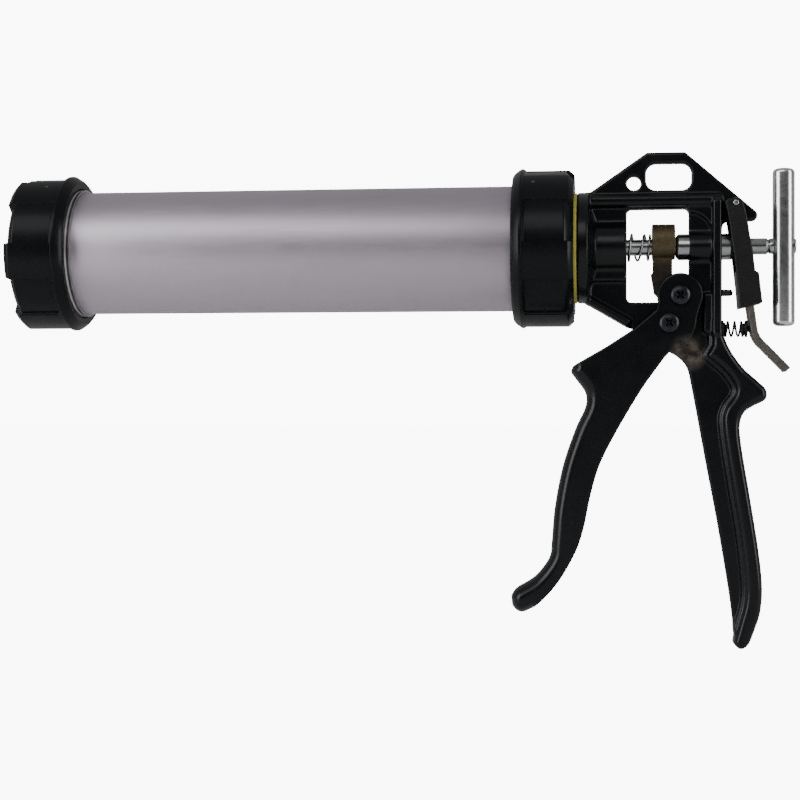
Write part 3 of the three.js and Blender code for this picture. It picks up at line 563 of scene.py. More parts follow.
def black_casting():
    """Semi-gloss black paint on a casting: orange peel, rubbed edges, a brown worn patch."""
    s = Surface("black_casting", 0.0, 0.27, Specular_IOR_Level=0.3)
    peel = s.noise(1.3, 3, 0.6)
    patch = s.noise(12, 5, 0.6)
    fine = s.noise(0.45, 3, 0.6)
    paint = s.ramp(patch, (0.3, (0.0018, 0.0026, 0.0036)), (0.7, (0.0036, 0.0046, 0.006)))
    edge = s.node("ShaderNodeAttribute", attribute_name="edge").outputs["Fac"]
    rub = s.times(s.ramp(edge, (0.25, 0.0), (0.9, 1.0)), s.ramp(fine, (0.45, 0.0), (0.7, 1.0)))
    paint = s.mix(s.times(rub, 0.3), paint, (0.05, 0.052, 0.056))
    crotch = s.times(s.near((46.5, -3.0, -45.0), 3.0, 7.0),
                     s.ramp(s.noise(4.5, 4, 0.6), (0.36, 0.15), (0.66, 1.0)))
    s.colour(s.mix(crotch, paint, (0.17, 0.145, 0.115)))
    s.rough(s.weigh(patch, fine, 0.6), 0.22, 0.32)
    s.bump(s.weigh(peel, fine, 0.7), 0.22, 0.09)


def bronze():
    """Brown sintered bronze with faint stains: tan round the rod, and the leg coloured darker as painted
    shade where it sits between the trigger's cheeks.
    """
    s = Surface("bronze", 0.75, 0.5)
    apart = s.node("ShaderNodeSeparateXYZ", ((0, s.place),))
    # Painted shade: below z -4.5 the colour turns to the darker leg tone, standing in for the shade
    # between the trigger's cheeks.
    height = s.spread(apart.outputs["Z"], metres((0, 0, -8))[2], metres((0, 0, -4.5))[2])
    stain = s.noise(1.8, 5, 0.65)
    top = s.ramp(stain, (0.3, (0.078, 0.06, 0.031)), (0.7, (0.122, 0.094, 0.05)))
    # The leg's darker tone is painted shade, not a different bronze.
    leg = s.ramp(stain, (0.3, (0.026, 0.021, 0.017)), (0.7, (0.052, 0.039, 0.03)))
    s.colour(s.mix(height, leg, top))
    grain = s.noise(0.4, 3, 0.6)
    s.rough(grain, 0.4, 0.6)
    s.bump(grain, 0.35, 0.04)


def yellow_plastic():
    """Olive-yellow moulded washer with a little dirt on it."""
    s = Surface("yellow_plastic", 0.0, 0.5)
    dirt = s.ramp(s.noise(2.5, 5, 0.7), (0.5, 0.0), (0.8, 1.0))
    s.colour(s.mix(s.times(dirt, 0.45), (0.53, 0.49, 0.075), (0.28, 0.23, 0.05)))
    fine = s.noise(0.8, 3, 0.6)
    s.rough(fine, 0.42, 0.58)
    s.bump(fine, 0.2, 0.03)


def soft_plain(name, dark, light, low, high):
    """Rubber, nylon or dull steel: a mottled tone and a fine rough surface."""
    size = 1.2
    metal = 1.0 if name in ("dull_steel", "dark_steel") else 0.0
    s = Surface(name, metal, (low + high) / 2)
    mottle = s.noise(size * 3, 5, 0.65)
    fine = s.noise(size / 3, 3, 0.6)
    s.colour(s.ramp(mottle, (0.3, dark), (0.7, light)))
    s.rough(s.weigh(mottle, fine, 0.5), low, high)
    s.bump(fine, 0.3, 0.04)


# Painted highlights: one pale glint spot on each cap's upper near-side recess, where the lamp shines.
GLINT_SPOTS = ((-230.4, -18.8, 26.9), (-18.2, -20.7, 25.5))
ALONG = (0.2, 1, 1)
anodised_aluminium()
bright_metal("bright_aluminium", (0.5, 0.49, 0.5), (0.4, 0.39, 0.4), 0.34, 0.46)
moulded_plastic("cap_plastic", (0.003, 0.0038, 0.005), (0.006, 0.007, 0.0084), 0.22, 0.31, gloss=0.16,
                glint_spots=GLINT_SPOTS)
moulded_plastic("cover_plastic", (0.003, 0.003, 0.004), (0.0075, 0.0075, 0.009), 0.34, 0.48, relief=0.05)
soft_plain("seal_rubber", (0.01, 0.01, 0.01), (0.025, 0.025, 0.025), 0.7, 0.9)
yellow_plastic()
soft_plain("nylon", (0.55, 0.52, 0.45), (0.72, 0.7, 0.63), 0.4, 0.6)
black_casting()
bright_metal("zinc_steel", (0.8, 0.81, 0.83), (0.7, 0.7, 0.71), 0.17, 0.27, ALONG)
soft_plain("dark_steel", (0.022, 0.024, 0.029), (0.055, 0.058, 0.067), 0.26, 0.42)
bright_metal("rod_steel", (0.42, 0.43, 0.44), (0.33, 0.33, 0.335), 0.15, 0.25, ALONG)
soft_plain("dull_steel", (0.12, 0.112, 0.098), (0.2, 0.19, 0.168), 0.42, 0.6)
bronze()


# ------------------------ camera
VIEW_POINT = (15.9, -737.1, -65.4)
VIEW_YAW = 7.2
LENS = 76.5
camera = bpy.data.objects.new("camera", bpy.data.cameras.new("camera"))
bpy.context.scene.collection.objects.link(camera)
camera.location = metres(VIEW_POINT)
camera.rotation_euler = (math.radians(90), 0, math.radians(VIEW_YAW))
camera.data.lens = LENS
camera.data.sensor_width = 36
camera.data.clip_start, camera.data.clip_end = 0.05, 50
bpy.context.scene.camera = camera


# ------------------------ barrel
def barrel():
    wall, seal_width = 2.0, 5
    washer("tube", "barrel_tube", BARREL_R - wall, "anodised_aluminium", "barrel", segments=192,
           rounding=0.3)
    for end in ("front", "rear"):
        thread_sleeve(end)
    for end, body in (("front", "cap_seal"), ("rear", "barrel")):
        node = end + "_seal_ring"
        washer(end + "_seal", node, span(node)[1][2] - seal_width, "seal_rubber", body, rounding=0.5)
    washer("washer", "swivel_washer", WASHER_BORE, "yellow_plastic", "barrel", segments=160, rounding=0.35)


def thread_sleeve(end):
    """Aluminium sleeve with fine thread crests."""
    node = end + "_thread_sleeve"
    low, high = span(node)
    pitch, depth, land = 1.5, 0.45, 1.9
    inner = BARREL_R + 0.05
    profile = [(low[0], inner), (low[0], high[2])]
    for x in np.arange(low[0] + land, high[0] - land, pitch):
        profile += [(x, high[2]), (x + pitch * 0.4, high[2] - depth), (x + pitch * 0.6, high[2] - depth)]
    profile += [(high[0], high[2]), (high[0], inner)]
    turned(end + "_sleeve", profile, "bright_aluminium", "barrel", [node], rounding=0.2, segments=160)


LUGS = 6
LUG_ANGLE = math.radians(27.5)
FRONT_LUG_TURN, REAR_LUG_TURN = math.radians(9.9), math.radians(13.3)
CAP_BORE_R = BARREL_R + 1.45


def screw_cap(node, out, lug_turn, body):
    """Screw cap whose six grip lugs stand on a shorter drum.

    outer and inner list (length from the mouth, radius) up the outside to the closed end, and back down
    the bore with its thread. The angles crowd at the lugs' sides.
    """
    low, high = span(node)
    mouth = low[0] if out > 0 else high[0]
    length = high[0] - low[0]
    rim = high[2]
    lug = rim - 0.35
    pitch = TURN / LUGS
    half_gap = (pitch - LUG_ANGLE) / 2
    recess_depth, recess_start, drum_step = 1.25, 5.4, 1.6
    edge = 0.4
    outer = [(0, rim - 2.9), (0.25, rim - 2.55), (1.5, rim - 1.3), (3.3, rim - 0.15), (3.5, rim),
             (4.3, rim), (4.5, rim - 0.05), (4.75, lug), (5.0, lug)]
    outer += [(recess_start + d, lug) for d in (-0.5, -edge, -0.25, -0.1, 0.1, 0.25, edge, 0.5)]
    outer += [(q, lug) for q in np.linspace(recess_start + 1, length - 3, 12)]
    outer += [(length - 2.35, lug), (length - 2.1, lug - 0.12), (length - 0.25, lug - 1.8),
              (length, lug - 2.1), (length, lug - 7)]
    seat, floor, hole = 0.9, 3.7, 12.5
    bottom = length - seat - floor
    inner = [(length, 24.45), (length - 0.1, 24.2), (length - seat, 24.1), (length - seat, hole + 0.2),
             (length - seat - 0.2, hole), (bottom, hole), (bottom, CAP_BORE_R)]
    groove = CAP_BORE_R + 0.35
    for s in np.arange(bottom - 2.4, 1.2, -1.5):
        inner += [(s, CAP_BORE_R), (s - 0.45, groove), (s - 0.9, groove)]
    inner += [(0.6, CAP_BORE_R), (0, CAP_BORE_R + 0.5)]
    rows = np.array(outer + inner)
    steps = []
    for n in range(LUGS):
        middle = lug_turn + pitch * (n + 0.5)
        for side in (-1, 1):
            wall = middle + side * half_gap
            steps += [wall + math.radians(d) for d in (-0.9, -0.6, -0.45, -0.2, 0, 0.2, 0.45, 0.6, 0.9)]
        steps += list(np.linspace(middle - half_gap + 0.03, middle + half_gap - 0.03, 12))
        steps += list(np.linspace(middle + half_gap + 0.03, middle + pitch - half_gap - 0.03, 10))
    turn = np.array(sorted(set(np.round(np.mod(steps, TURN), 6))))
    away = np.abs(np.mod(turn - lug_turn, pitch) - pitch / 2)
    across = np.clip((half_gap - away) / math.radians(0.9) + 0.5, 0, 1)
    along = np.clip((rows[:, 0] - recess_start) / (2 * edge) + 0.5, 0, 1)
    along[len(outer) - 1:] = 0
    shorter = drum_step * np.clip((rows[:, 0] - recess_start - 1) / (length - recess_start - 1), 0, 1)
    shorter[len(outer) - 1:] = 0
    across, along = (v * v * (3 - 2 * v) for v in (across, along))
    radius = rows[:, 1][:, None] - recess_depth * along[:, None] * across[None, :]
    x = mouth + out * (rows[:, 0][:, None] - shorter[:, None] * across[None, :])
    points = np.stack([x, -radius * np.cos(turn), -radius * np.sin(turn)], -1).reshape(-1, 3)
    add_piece(node.replace("cap", "screw_cap"), points, grid_faces(len(rows), len(turn)), "cap_plastic",
              body, [node], angle=32)


def swivel():
    """Spigot that the barrel turns on, and its bearing washer."""
    washer("bearing_washer", "thrust_washer", WASHER_BORE, "nylon", "frame")
    low, high = span("swivel_spigot")
    flange_back, collar = low[0] + 2.5, -0.1
    neck, plug, bore = 12.4, 8.4, ROD_R + 0.1
    turned("spigot", [(low[0], bore), (low[0], high[2]), (flange_back, high[2]), (flange_back, neck),
                      (collar, neck), (collar, plug), (high[0] - 1, plug), (high[0], plug - 1),
                      (high[0], bore)], "zinc_steel", "frame", ["swivel_spigot"], rounding=0.3)


# ------------------------ plunger
def plunger():
    """Rod with its peened end, T-handle, lock nut and the piston's cup and plates."""
    low, high = span("push_rod")
    bar_low, bar_high = span("t_bar")
    seat = bar_low[0]
    stem, tenon = ROD_STEM, 2.2
    shoulder = span("piston_back_plate")[1][0] + 0.5
    turned("rod", [(low[0], 0), (low[0], stem - 0.5), (low[0] + 0.6, stem), (shoulder, stem),
                   (shoulder, ROD_R), (seat - 2.6, ROD_R), (seat - 1.9, ROD_R - 0.75),
                   (seat - 1.2, ROD_R - 0.2), (seat + 0.5, ROD_R - 0.1), (seat + 0.5, tenon),
                   (bar_high[0] - 0.9, tenon), (bar_high[0] - 0.4, 3.3), (high[0] - 0.15, 2.9),
                   (high[0], 1.6), (high[0] - 0.2, 0)],
           "zinc_steel", "rod", ["push_rod"], segments=96, rounding=0.25)
    r = bar_high[1]
    middle = (bar_low[0] + bar_high[0]) / 2
    tip = [(0, 0), (0, r - 1.9), (0.3, r - 1.0), (0.9, r - 0.3), (1.7, r)]
    bar = [(bar_low[2] + d, q) for d, q in tip] + [(bar_high[2] - d, q) for d, q in tip[::-1]]
    turned("t_handle", bar, "zinc_steel", "rod", ["t_bar"], axis="z", centre=(middle, 0, 0), segments=96,
           rounding=0.3)
    low, high = span("piston_nut")
    hexagon = Outline(arc((0, 0), 5.7, 0, 300, 6))

    def nut(x, y, z):
        body = meet(hexagon(y, z), between(x, low[0], high[0]), 0.2)
        cone = np.hypot(y, z) + np.maximum(low[0] + 0.5 - x, x - high[0] + 0.5) * 0.6 - 5.5
        return cut(meet(body, cone, 0.2), rod(y, z, (0, 0), stem))

    formed("rod_nut", nut, low - 1, high + 1, 0.25, "zinc_steel", "rod", ["piston_nut"])
    for name in ("front_plate", "back_plate"):
        washer(name, "piston_" + name, stem + 0.1, "zinc_steel", "piston", rounding=0.4)
    low, high = span("piston_cup")
    r = high[2]
    turned("cup", [(low[0], stem + 0.1), (low[0], r - 2.2), (low[0] + 0.5, r - 0.9),
                   (low[0] + 1.6, r - 0.4), (low[0] + 3, r - 0.45), (high[0] - 4, r - 0.9),
                   (high[0] - 0.5, r), (high[0], r - 0.3), (high[0], r - 1.4), (high[0] - 6, r - 2.6),
                   (low[0] + 4, r - 2.8), (low[0] + 4, stem + 0.1)],
           "cover_plastic", "piston", ["piston_cup"], rounding=0.4)


# ------------------------ frame
# Back edge of the rear handle as (x, z), from the spring's seat down to the tip.
HANDLE_BACK = [(70.6, -53.1), (76.6, -58.4), (79.2, -61.3), (78.9, -65), (74.3, -67.5), (70.3, -70.3),
               (68.3, -75.5), (68.9, -85), (72.5, -106.9), (75.9, -128.4), (77.5, -144), (76.8, -154.8),
               (74.4, -162.7), (71.8, -168.9), (68.7, -170.8), (66, -168.4)]


def frame_outlines():
    """Side views of the plate with the handle's web, and of the handle's grip."""
    neck = bend((FLANGE_BACK, -35), (FLANGE_BACK + 1.6, -44), HANDLE_BACK[0])[:-1]
    back = neck + spline(HANDLE_BACK)
    tip = HANDLE_BACK[-1]
    plate = ([(4.2, 23), (29.5, 40.5), (45.7, 40.5), (75.3, 14.9)] + arc((73.7, 13.1), 2.4, 49, -90)
             + arc((FLANGE_BACK + 3.8, 6.9), 3.8, 90, 180) + back + [tip, (66.3, -165.5)]
             + spline([(66.3, -165.5), (63.9, -146.2), (59, -116.8), (54.2, -91.3), (50.3, -69.8),
                       (47.4, -54.5)])
             + bend((47.4, -54.5), (46.3, -48.4), (39.2, -45)) + [(23.6, -35.3), (4.2, -24)])
    grip = ([(FLANGE_FRONT, -33)] + back + [tip]
            + spline([tip, (68.2, -160.5), (70.6, -151), (70.7, -141), (68.4, -121), (64.6, -98),
                      (61.6, -77), (62.4, -69.5), (66.9, -61.5), (62.6, -53.5), (54.6, -46.6)])
            + [(54.6, -46.6), (FLANGE_FRONT, -42)])
    return Outline(plate), Outline(grip)


def frame_casting():
    """Plate, web, grip, collar and bosses, then the ribs, then every opening."""
    plate_outline, grip_outline = frame_outlines()
    top, back = COLLAR_R, COLLAR_LENGTH
    front = Outline([(0, -2), (0, top - 0.5), (0.5, top), (back - 0.5, top), (back, top - 0.5),
                     (back + 0.6, 17.2), (back + 3, BOSS_R), (WINDOW[0], BOSS_R), (WINDOW[0], -2)],
                    step=0.2)
    brow = Outline([(4, -20.4), (4, -24.1), (21.4, -34.2), (22.9, -31.2)])
    corner = Outline([(46, 17.6), (60, 17.6), (60, -3)] + arc((47.2, 4.6), 9.8, -25, 95, 12))

    def shape(x, y, z):
        side, grip = plate_outline(x, z), grip_outline(x, z)
        body = slab(side, y, WEB_HALF, 1.1)
        body = join(body, slab(meet(grip - 1.9, side), y, 5.4, 1.3), 1.0)
        body = join(body, slab(grip, y, GRIP_HALF, 2.6), 1.2)
        turn = np.hypot(y, z)
        body = join(body, front(x, turn), 1.6)
        body = join(body, block(x, y, z, (4, -5, -14.6), (WINDOW[0], 5, -4), 1.0), 1.2)
        rear_boss = meet(turn - 6.7, between(x, 45, FLANGE_BACK - 1), 0.5)
        body = join(body, rear_boss, 1.4)
        body = join(body, block(x, y, z, (FLANGE_FRONT, -8, -38), (FLANGE_BACK, 8, 19.8), 1.1), 1.6)
        body = join(body, block(x, y, z, (3, -6.5, 17.2), (FLANGE_BACK + 0.4, 6.5, 22.2), 2.1), 1.4)
        body = join(body, block(x, y, z, (53.3, -6, -37), (58, 6, -20), 1.1), 1.2)
        body = join(body, slab(corner(x, z), y, 5.0, 1.0), 1.0)
        body = join(body, slab(brow(x, z), y, 6.0, 1.6), 1.6)
        body = cut(body, rect(x, z, WINDOW, 2.0), 0.8)
        body = cut(body, rect(x, z, SLOT, 4.2), 1.2)
        body = cut(body, rod(x, z, (24, 27.4), 3.0), 0.9)
        pocket = (DRIVE_PIN[0] - 3.6, WINDOW[1], DRIVE_PIN[1] - 3.6, DRIVE_PIN[1])
        body = cut(body, rect(x, z, pocket, 1.0), 0.4)
        body = cut(body, rod(x, z, PIVOT, SCREW_R + 0.1))
        body = cut(body, rod(x, z, LEVER_PIN, 1.3), 0.3)
        body = cut(body, meet(rod(y, z, (0, STOP_PIN_Z), 1.5), FLANGE_FRONT - 2 - x))
        body = cut(body, meet(rod(y, z, (0, LEVER_SPRING_Z), 3.8), FLANGE_BACK - x))
        body = cut(body, meet(rod(y, z, (0, LEVER_SPRING_Z), 2.65), FLANGE_BACK - 2.5 - x))
        bore = join(meet(turn - 8.5, x - 15.1), turn - (ROD_R + 0.5))
        body = cut(body, meet(bore, x - WINDOW[0] - 1))
        return cut(body, meet(turn - 5.65, WINDOW[1] - 1 - x), 0.4)

    formed("frame_casting", shape, (-1.5, 0, -173.5), (82, 25.5, 43), 0.55, "black_casting", "frame",
           ["frame"])


def frame_fittings():
    """Guide bush, stop pin, lever pin and the two seats of the release spring."""
    low, high = span("guide_bush")
    r = high[2]
    turned("bush", [(low[0], ROD_R + 0.1), (low[0], r - 1.3), (low[0] + 1.1, r), (high[0] - 1.1, r),
                    (high[0], r - 1.0), (high[0], ROD_R + 0.1)], "zinc_steel", "frame", ["guide_bush"],
           segments=96, rounding=0.3)
    low, high = span("stop_pin")
    r = (high[2] - low[2]) / 2
    turned("lever_stop", [(low[0], 0), (low[0], r), (high[0] - 1.3, r), (high[0] - 0.5, r * 0.85),
                          (high[0] - 0.1, r * 0.45), (high[0], 0)], "dark_steel", "frame", ["stop_pin"],
           centre=(0, 0, STOP_PIN_Z), segments=48, rounding=0.3)
    low, high = span("lever_pin")
    r = (high[2] - low[2]) / 2
    turned("lever_axle", [(low[1], 0), (low[1], r - 0.3), (low[1] + 0.3, r), (high[1] - 0.3, r),
                          (high[1], r - 0.3), (high[1], 0)], "zinc_steel", "frame", ["lever_pin"],
           axis="y", centre=(LEVER_PIN[0], 0, LEVER_PIN[1]), segments=32, rounding=0.1)
    spring_seat("release_spring_seat", 1, "frame")
    spring_seat("lever_spring_seat", -1, "release_lever")


def spring_seat(node, out, body):
    """Small flanged seat. out is the way its nipple faces."""
    low, high = span(node)
    back, front = (low[0], high[0]) if out > 0 else (high[0], low[0])
    plate = front - out * SEAT_STEP
    rim = plate - out * SEAT_STEP
    r = high[2] - LEVER_SPRING_Z
    shank = 2.6 if out > 0 else 1.4
    turned(node + "_cup", [(back, 0), (back, shank), (rim, shank), (rim, r), (plate, r), (plate, 2.5),
                           (front + out * -0.3, 2.3), (front, 1.6), (front, 0)],
           "cover_plastic", body, [node], centre=(0, 0, LEVER_SPRING_Z), segments=48, rounding=0.25)


# ------------------------ trigger and drive
def trigger_outline():
    """Side view of the trigger, and a wider one that shares its front edge, for the deep rounding."""
    head = arc(DRIVE_PIN, 9.5, 197, -20, 24)
    front = spline([(-28.7, -149.8), (-26.2, -146.4), (-18.3, -141.3), (-12.3, -133.4), (-11.2, -126.4),
                    (-9.9, -111.5), (-6.4, -93.6), (-1, -77.7), (3.2, -68.5), (3.3, -62.6), (-0.3, -57.2),
                    (-2.9, -53.4), (-2, -50.8)])
    fading = [(-4, -48), (20.6, -30.7), (20.6, -5), (60, -5), (60, -155.3)]
    tip = [(-19.3, -155.3), (-24.2, -157.1), (-27.9, -154.6), (-28.7, -149.8)]
    back = spline([(52.4, -24.2), (50.6, -30), (49.9, -34.8), (47, -40.2), (39.2, -45), (32.8, -53),
                   (26, -62.9), (16.2, -79.7), (9.4, -93.5), (5.4, -107.4), (2.5, -121.3), (-1.5, -132.2),
                   (-9.4, -145.2)] + tip)
    top = [(-2, -50.8), (12.3, -42.6), (23.6, -35.3), (33.4, -27)]
    whole = top + head + back[1:] + front
    opened = fading + spline(tip) + front
    return Outline(whole), Outline(opened)


def trigger():
    """Clevis with its screws and the roller between its cheeks."""
    whole, opened = trigger_outline()
    hollow = Outline([(60, 5), (20, 5), (22.4, -35.6), (27, -38.8), (5.6, -52.2), (8.2, -59.5),
                      (8.6, -67.5), (3.9, -79.5), (-1.5, -95), (-5, -112), (-6.6, -127), (-5, -132.5),
                      (-1, -134.5), (60, -134.5)])
    gap = WEB_HALF + CHEEK_GAP
    front_depth = 5.5

    def shape(x, y, z):
        body = slab(whole(x, z), y, GRIP_HALF, 0.9)
        oval = slab(opened(x, z), y * (front_depth / GRIP_HALF), front_depth, front_depth - 0.1)
        body = meet(body, oval, 0.3)
        body = cut(body, meet(hollow(x, z), np.abs(y) - gap, 0.6), 0.5)
        for hole in (PIVOT, DRIVE_PIN):
            body = cut(body, rod(x, z, hole, SCREW_R + 0.1))
        return body

    formed("trigger_casting", shape, (-31, 0, -159), (55, 9.5, -9.5), 0.5, "black_casting", "trigger",
           ["trigger"])
    screw("pivot", PIVOT, "frame")
    screw("drive", DRIVE_PIN, "trigger")
    low, high = span("drive_roller")
    turned("roller", [(low[1], SCREW_R + 0.05), (low[1], 3.0), (high[1], 3.0), (high[1], SCREW_R + 0.05)],
           "zinc_steel", "trigger", ["drive_roller"], axis="y", centre=(DRIVE_PIN[0], 0, DRIVE_PIN[1]),
           segments=48)


def screw(name, at, body):
    """Pan-head screw with a cross recess, and the chamfered nut on its far end."""
    low, high = span(name + "_screw")
    face = -GRIP_HALF - 0.1
    top = low[1]
    diagonal = 0.7071
    head = Outline([(top, -2), (top, 2.1), (top + 0.25, 3.1), (top + 0.8, 4.0), (top + 1.5, 4.35),
                    (face, 4.4), (face, SCREW_R), (high[1] - 0.5, SCREW_R), (high[1], SCREW_R - 0.5),
                    (high[1], -2)], step=0.15, pad=4)

    def shape(x, y, z):
        u, v = x - at[0], z - at[1]
        body = head(y, np.hypot(u, v))
        depth = y - top
        a, b = np.abs(u + v) * diagonal, np.abs(u - v) * diagonal
        blade = 0.42 - depth * 0.08
        reach = 2.15 - depth * 0.55
        cross = np.minimum(np.maximum(a - blade, b - reach), np.maximum(b - blade, a - reach))
        cone = np.hypot(u, v) - 1.15 + depth * 0.35
        recess = meet(join(cross, cone, 0.2), depth - 1.9)
        return cut(body, recess, 0.15)

    formed(name + "_bolt", shape, low - MARGIN, high + MARGIN, 0.2, "dark_steel", body, [name + "_screw"],
           mirrored=False)
    low, high = span(name + "_nut")
    hexagon = Outline(arc(at, 4.6, 90, 390, 6), step=0.15, pad=4)

    def nut(x, y, z):
        r = np.hypot(x - at[0], z - at[1])
        body = meet(hexagon(x, z), between(y, low[1], high[1]), 0.15)
        body = meet(body, r + (y - high[1] + 0.6) * 0.5 - 4.5, 0.15)
        return cut(body, r - SCREW_R - 0.05, 0.3)

    formed(name + "_hex", nut, low - MARGIN, high + MARGIN, 0.2, "dark_steel", body, [name + "_nut"],
           mirrored=False)


def drive():
    """Gripping block on the rod and its return spring."""
    leg = Outline([(32, 2.3), (32, -11), (31.15, -11.7), (32.5, -19.8), (34, -21.3), (39.3, -21.3),
                   (40.3, -20.3), (40.3, 2.3)], step=0.15, pad=4)
    low, high = span("drive_block")

    def shape(x, y, z):
        ring = np.hypot(y, z - 2.3)
        body = meet(ring - 7.6, between(x, BLOCK_FRONT, high[0]), 0.5)
        body = join(body, slab(leg(x, z), y, 2.8, 0.4), 0.6)
        return cut(body, np.hypot(y, z) - ROD_R - 0.2, 0.3)

    formed("grip_block", shape, low - MARGIN, high + MARGIN, 0.25, "bronze", "drive_block",
           ["drive_block"])
    start, end = WINDOW[0], BLOCK_FRONT
    wire = 0.5
    turns = [(0.0, 0.0), (0.5, 0.08), (1.0, 0.25), (1.5, 0.62), (2.0, 0.84), (2.9, 1.0)]
    path = coil(start + wire + 0.1, end - wire - 0.1, 0.0, 5.7, 5.3, turns, 1.6)
    spring = sweep("block_spring", path, wire, "zinc_steel", "frame", ["return_spring"])
    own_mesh(spring)


def coil(start, end, z, radius, end_radius, turns, phase, steps=40):
    """Wire path: turns lists (turns so far, share of the length), so that coils may lie close or open."""
    t = np.linspace(0, turns[-1][0], int(turns[-1][0] * steps))
    share = np.interp(t, *zip(*turns))
    kernel = np.hanning(steps // 2 + 1)
    pad = len(kernel) // 2
    share = np.convolve(np.pad(share, pad, "edge"), kernel / kernel.sum(), "valid")
    share = (share - share[0]) / (share[-1] - share[0])
    r = radius + (end_radius - radius) * share
    angle = TURN * t + phase
    return np.stack([start + (end - start) * share, r * np.sin(angle), z + r * np.cos(angle)], -1)


# ------------------------ release lever
def release_lever():
    """Bent brake plate on the rod, its ribbed cover and the release spring."""
    low, high = span("brake_plate")
    half = high[1]
    thickness = 2.9
    knee = bend((lever_x(-35.5), -35.5), (lever_x(-39.5), -39.5), (78.6, -42.7), 8)
    chain = np.array([LEVER_PIN] + knee + [(88.3, -52.7)])
    along = np.gradient(chain, axis=0)
    along /= np.linalg.norm(along, axis=1)[:, None]
    side = np.stack([-along[:, 1], along[:, 0]], 1) * thickness / 2
    strip = Outline(np.vstack([chain + side, (chain - side)[::-1]]), step=0.2, pad=5)

    def plate(x, y, z):
        body = slab(strip(x, z), y, half, 0.45)
        body = join(body, meet(rod(x, z, LEVER_PIN, 2.4), np.abs(y) - half, 0.5), 0.8)
        body = cut(body, meet(np.abs(y) - WEB_HALF - 0.3, 8.7 - z, 0.5), 0.3)
        body = cut(body, rod(x, z, LEVER_PIN, LEVER_PIN_BORE))
        body = cut(body, meet(np.hypot(y, z) - ROD_R - 0.6, between(x, 60, 80)))
        return cut(body, meet(rod(y, z, (0, LEVER_SPRING_Z), 1.6), between(x, 66, 80)))

    formed("brake_strip", plate, low - MARGIN, high + MARGIN, 0.32, "dull_steel", "release_lever",
           ["brake_plate"])

    low, high = span("lever_cover")
    half, inside = high[1], high[1] - 1.5
    back = spline([(74.7, -10.9), (73.5, -1.5), (72.5, 3.9), (71.2, 12), (69.6, 18.2)])
    front = spline([(62.3, 17.6), (63.6, 11), (64.7, 3.5), (65.8, -4.2), (67.2, -16.6), (68.1, -26.6)])
    outline = Outline([(77.7, -24.3), (76.2, -11.6)] + back + bend((69.6, 18.2), (68.9, 20), (66.5, 20))
                      + bend((63.4, 19.6), (61.9, 19.2), (62.3, 17.6)) + front[1:] + [(68.1, -26.6)],
                      step=0.15, pad=5)
    room = thickness / 2 / math.cos(math.atan(LEVER_DROP)) + 0.3

    def cover(x, y, z):
        ribs = 0.1 * np.clip(np.sin((z + LEVER_DROP * x) * (TURN / 1.32)) * 2, -1, 1)
        ribs = ribs * np.clip((z + 25.5) * 2, 0, 1) * np.clip((17.5 - z) * 2, 0, 1)
        body = slab(outline(x, z), np.abs(y) + ribs * 0.5 + 0.08, half, 0.7)
        line = lever_x(z)
        channel = meet(meet(x - line - room, -11 - z), np.abs(y) - inside)
        socket = meet(meet(np.abs(x - line) - room, z + 10), np.abs(y) - inside)
        body = cut(cut(body, channel, 0.3), socket, 0.2)
        body = cut(body, meet(np.abs(y) - WEB_HALF - 0.3, 8.7 - z), 0.2)
        body = cut(body, meet(rod(x, z, LEVER_PIN, 2.7), np.abs(y) - inside))
        body = cut(body, rod(x, z, LEVER_PIN, LEVER_PIN_BORE))
        return cut(body, meet(np.hypot(y, z) - ROD_R - 0.9, between(x, 60, 85)), 0.3)

    formed("thumb_cover", cover, low - MARGIN, high + MARGIN, 0.27, "cover_plastic", "release_lever",
           ["lever_cover"])

    start = span("release_spring_seat")[1][0] - SEAT_STEP
    end = span("lever_spring_seat")[0][0] + SEAT_STEP
    wire = 0.48
    path = coil(start + wire, end - wire - 0.3, LEVER_SPRING_Z, 3.1, 3.1,
                [(0.0, 0.0), (0.6, 0.05), (3.0, 0.95), (3.6, 1.0)], 0.5)
    spring = sweep("lever_spring", path, wire, "dark_steel", "frame", ["release_spring"], sides=8)
    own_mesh(spring)


# ------------------------ studio
BACKDROP = 10.0  # what the camera sees of the floor and the surroundings


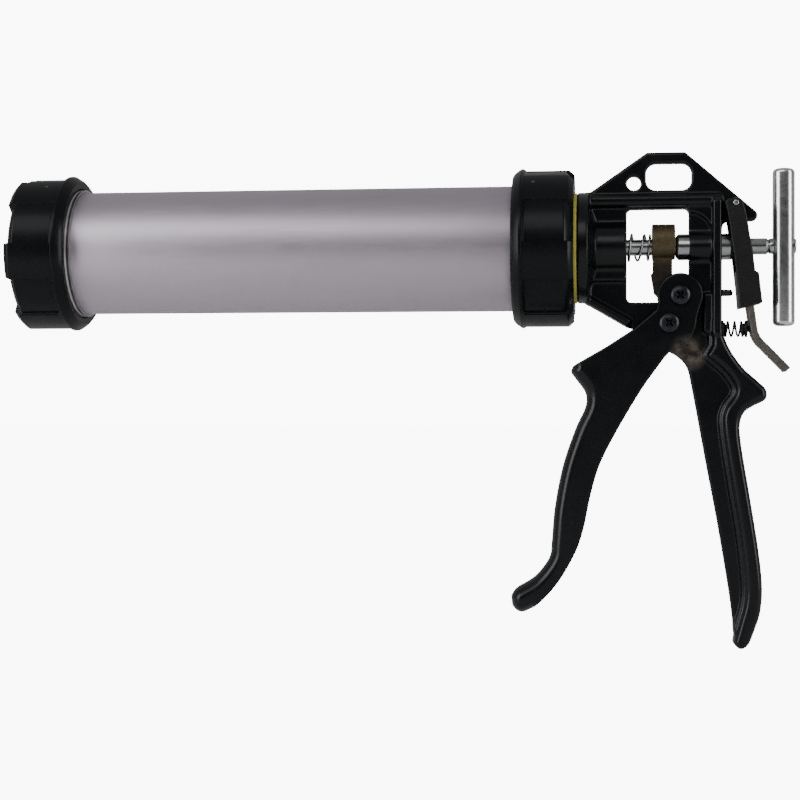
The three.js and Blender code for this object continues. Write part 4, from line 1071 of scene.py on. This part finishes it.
def studio():
    """Pale floor, white surroundings with a darker camera side, and soft lamps."""
    world = bpy.data.worlds.new("studio")
    bpy.context.scene.world = world
    world.use_nodes = True
    world.node_tree.nodes.clear()
    sky = Nodes(world.node_tree)
    place = sky.node("ShaderNodeTexCoord").outputs["Generated"]
    apart = sky.node("ShaderNodeSeparateXYZ", ((0, place),))
    height = sky.ramp(sky.spread(apart.outputs["Z"], -1, 1), (0.0, 0.9), (0.26, 0.8), (0.41, 0.05),
                      (0.57, 0.05), (0.7, 0.55), (0.84, 0.75), (1.0, 0.8))
    tone = sky.mix(sky.spread(apart.outputs["Y"], -0.1, 0.5), height, (0.9, 0.9, 0.9))
    light = sky.node("ShaderNodeBackground", (("Strength", 0.42), ("Color", tone))).outputs[0]
    white = sky.node("ShaderNodeBackground", (("Strength", BACKDROP), ("Color", (1, 1, 1, 1)))).outputs[0]
    sky.node("ShaderNodeOutputWorld", (("Surface", sky.blend(sky.seen(), light, white)),))

    softbox("top", (-0.25, -0.72, 0.78), (0.0, 0.0, 0.12), (1.0, 0.4), 2.5)
    softbox("left", (-0.95, -0.5, 0.35), (0.0, 0.0, 0.1), (0.5, 0.9), 8)
    softbox("right", (0.95, -0.35, 0.25), (0.05, 0.0, 0.08), (0.3, 0.9), 5)

    size = 6.0
    floor = bpy.data.meshes.new("floor")
    floor.from_pydata([(-size, -size, 0), (size, -size, 0), (size, size, 0), (-size, size, 0)], [],
                      [(0, 1, 2, 3)])
    ground = bpy.data.objects.new("floor", floor)
    ground.location.z = -0.0005
    bpy.context.scene.collection.objects.link(ground)
    pale = Surface("floor", 0.0, 0.9, Base_Color=(0.85, 0.85, 0.85, 1))
    glow = pale.node("ShaderNodeEmission", (("Strength", BACKDROP),)).outputs[0]
    both = pale.blend(pale.times(pale.seen(), 0.96), pale.shader.outputs[0], glow)
    pale.link(both, pale.tree.nodes["Material Output"].inputs["Surface"])
    floor.materials.append(pale.material)


def softbox(name, place, target, size, power):
    """A rectangular lamp aimed at a point, in metres and watts."""
    lamp = bpy.data.lights.new(name, "AREA")
    lamp.shape = "RECTANGLE"
    lamp.size, lamp.size_y = size
    lamp.energy = power
    made = bpy.data.objects.new(name, lamp)
    made.location = place
    made.rotation_euler = (Vector(target) - Vector(place)).to_track_quat("-Z", "Y").to_euler()
    bpy.context.scene.collection.objects.link(made)


barrel()
screw_cap("front_cap", -1, FRONT_LUG_TURN, "front_cap")
screw_cap("rear_cap", 1, REAR_LUG_TURN, "barrel")
swivel()
plunger()
frame_casting()
frame_fittings()
trigger()
drive()
release_lever()
studio()
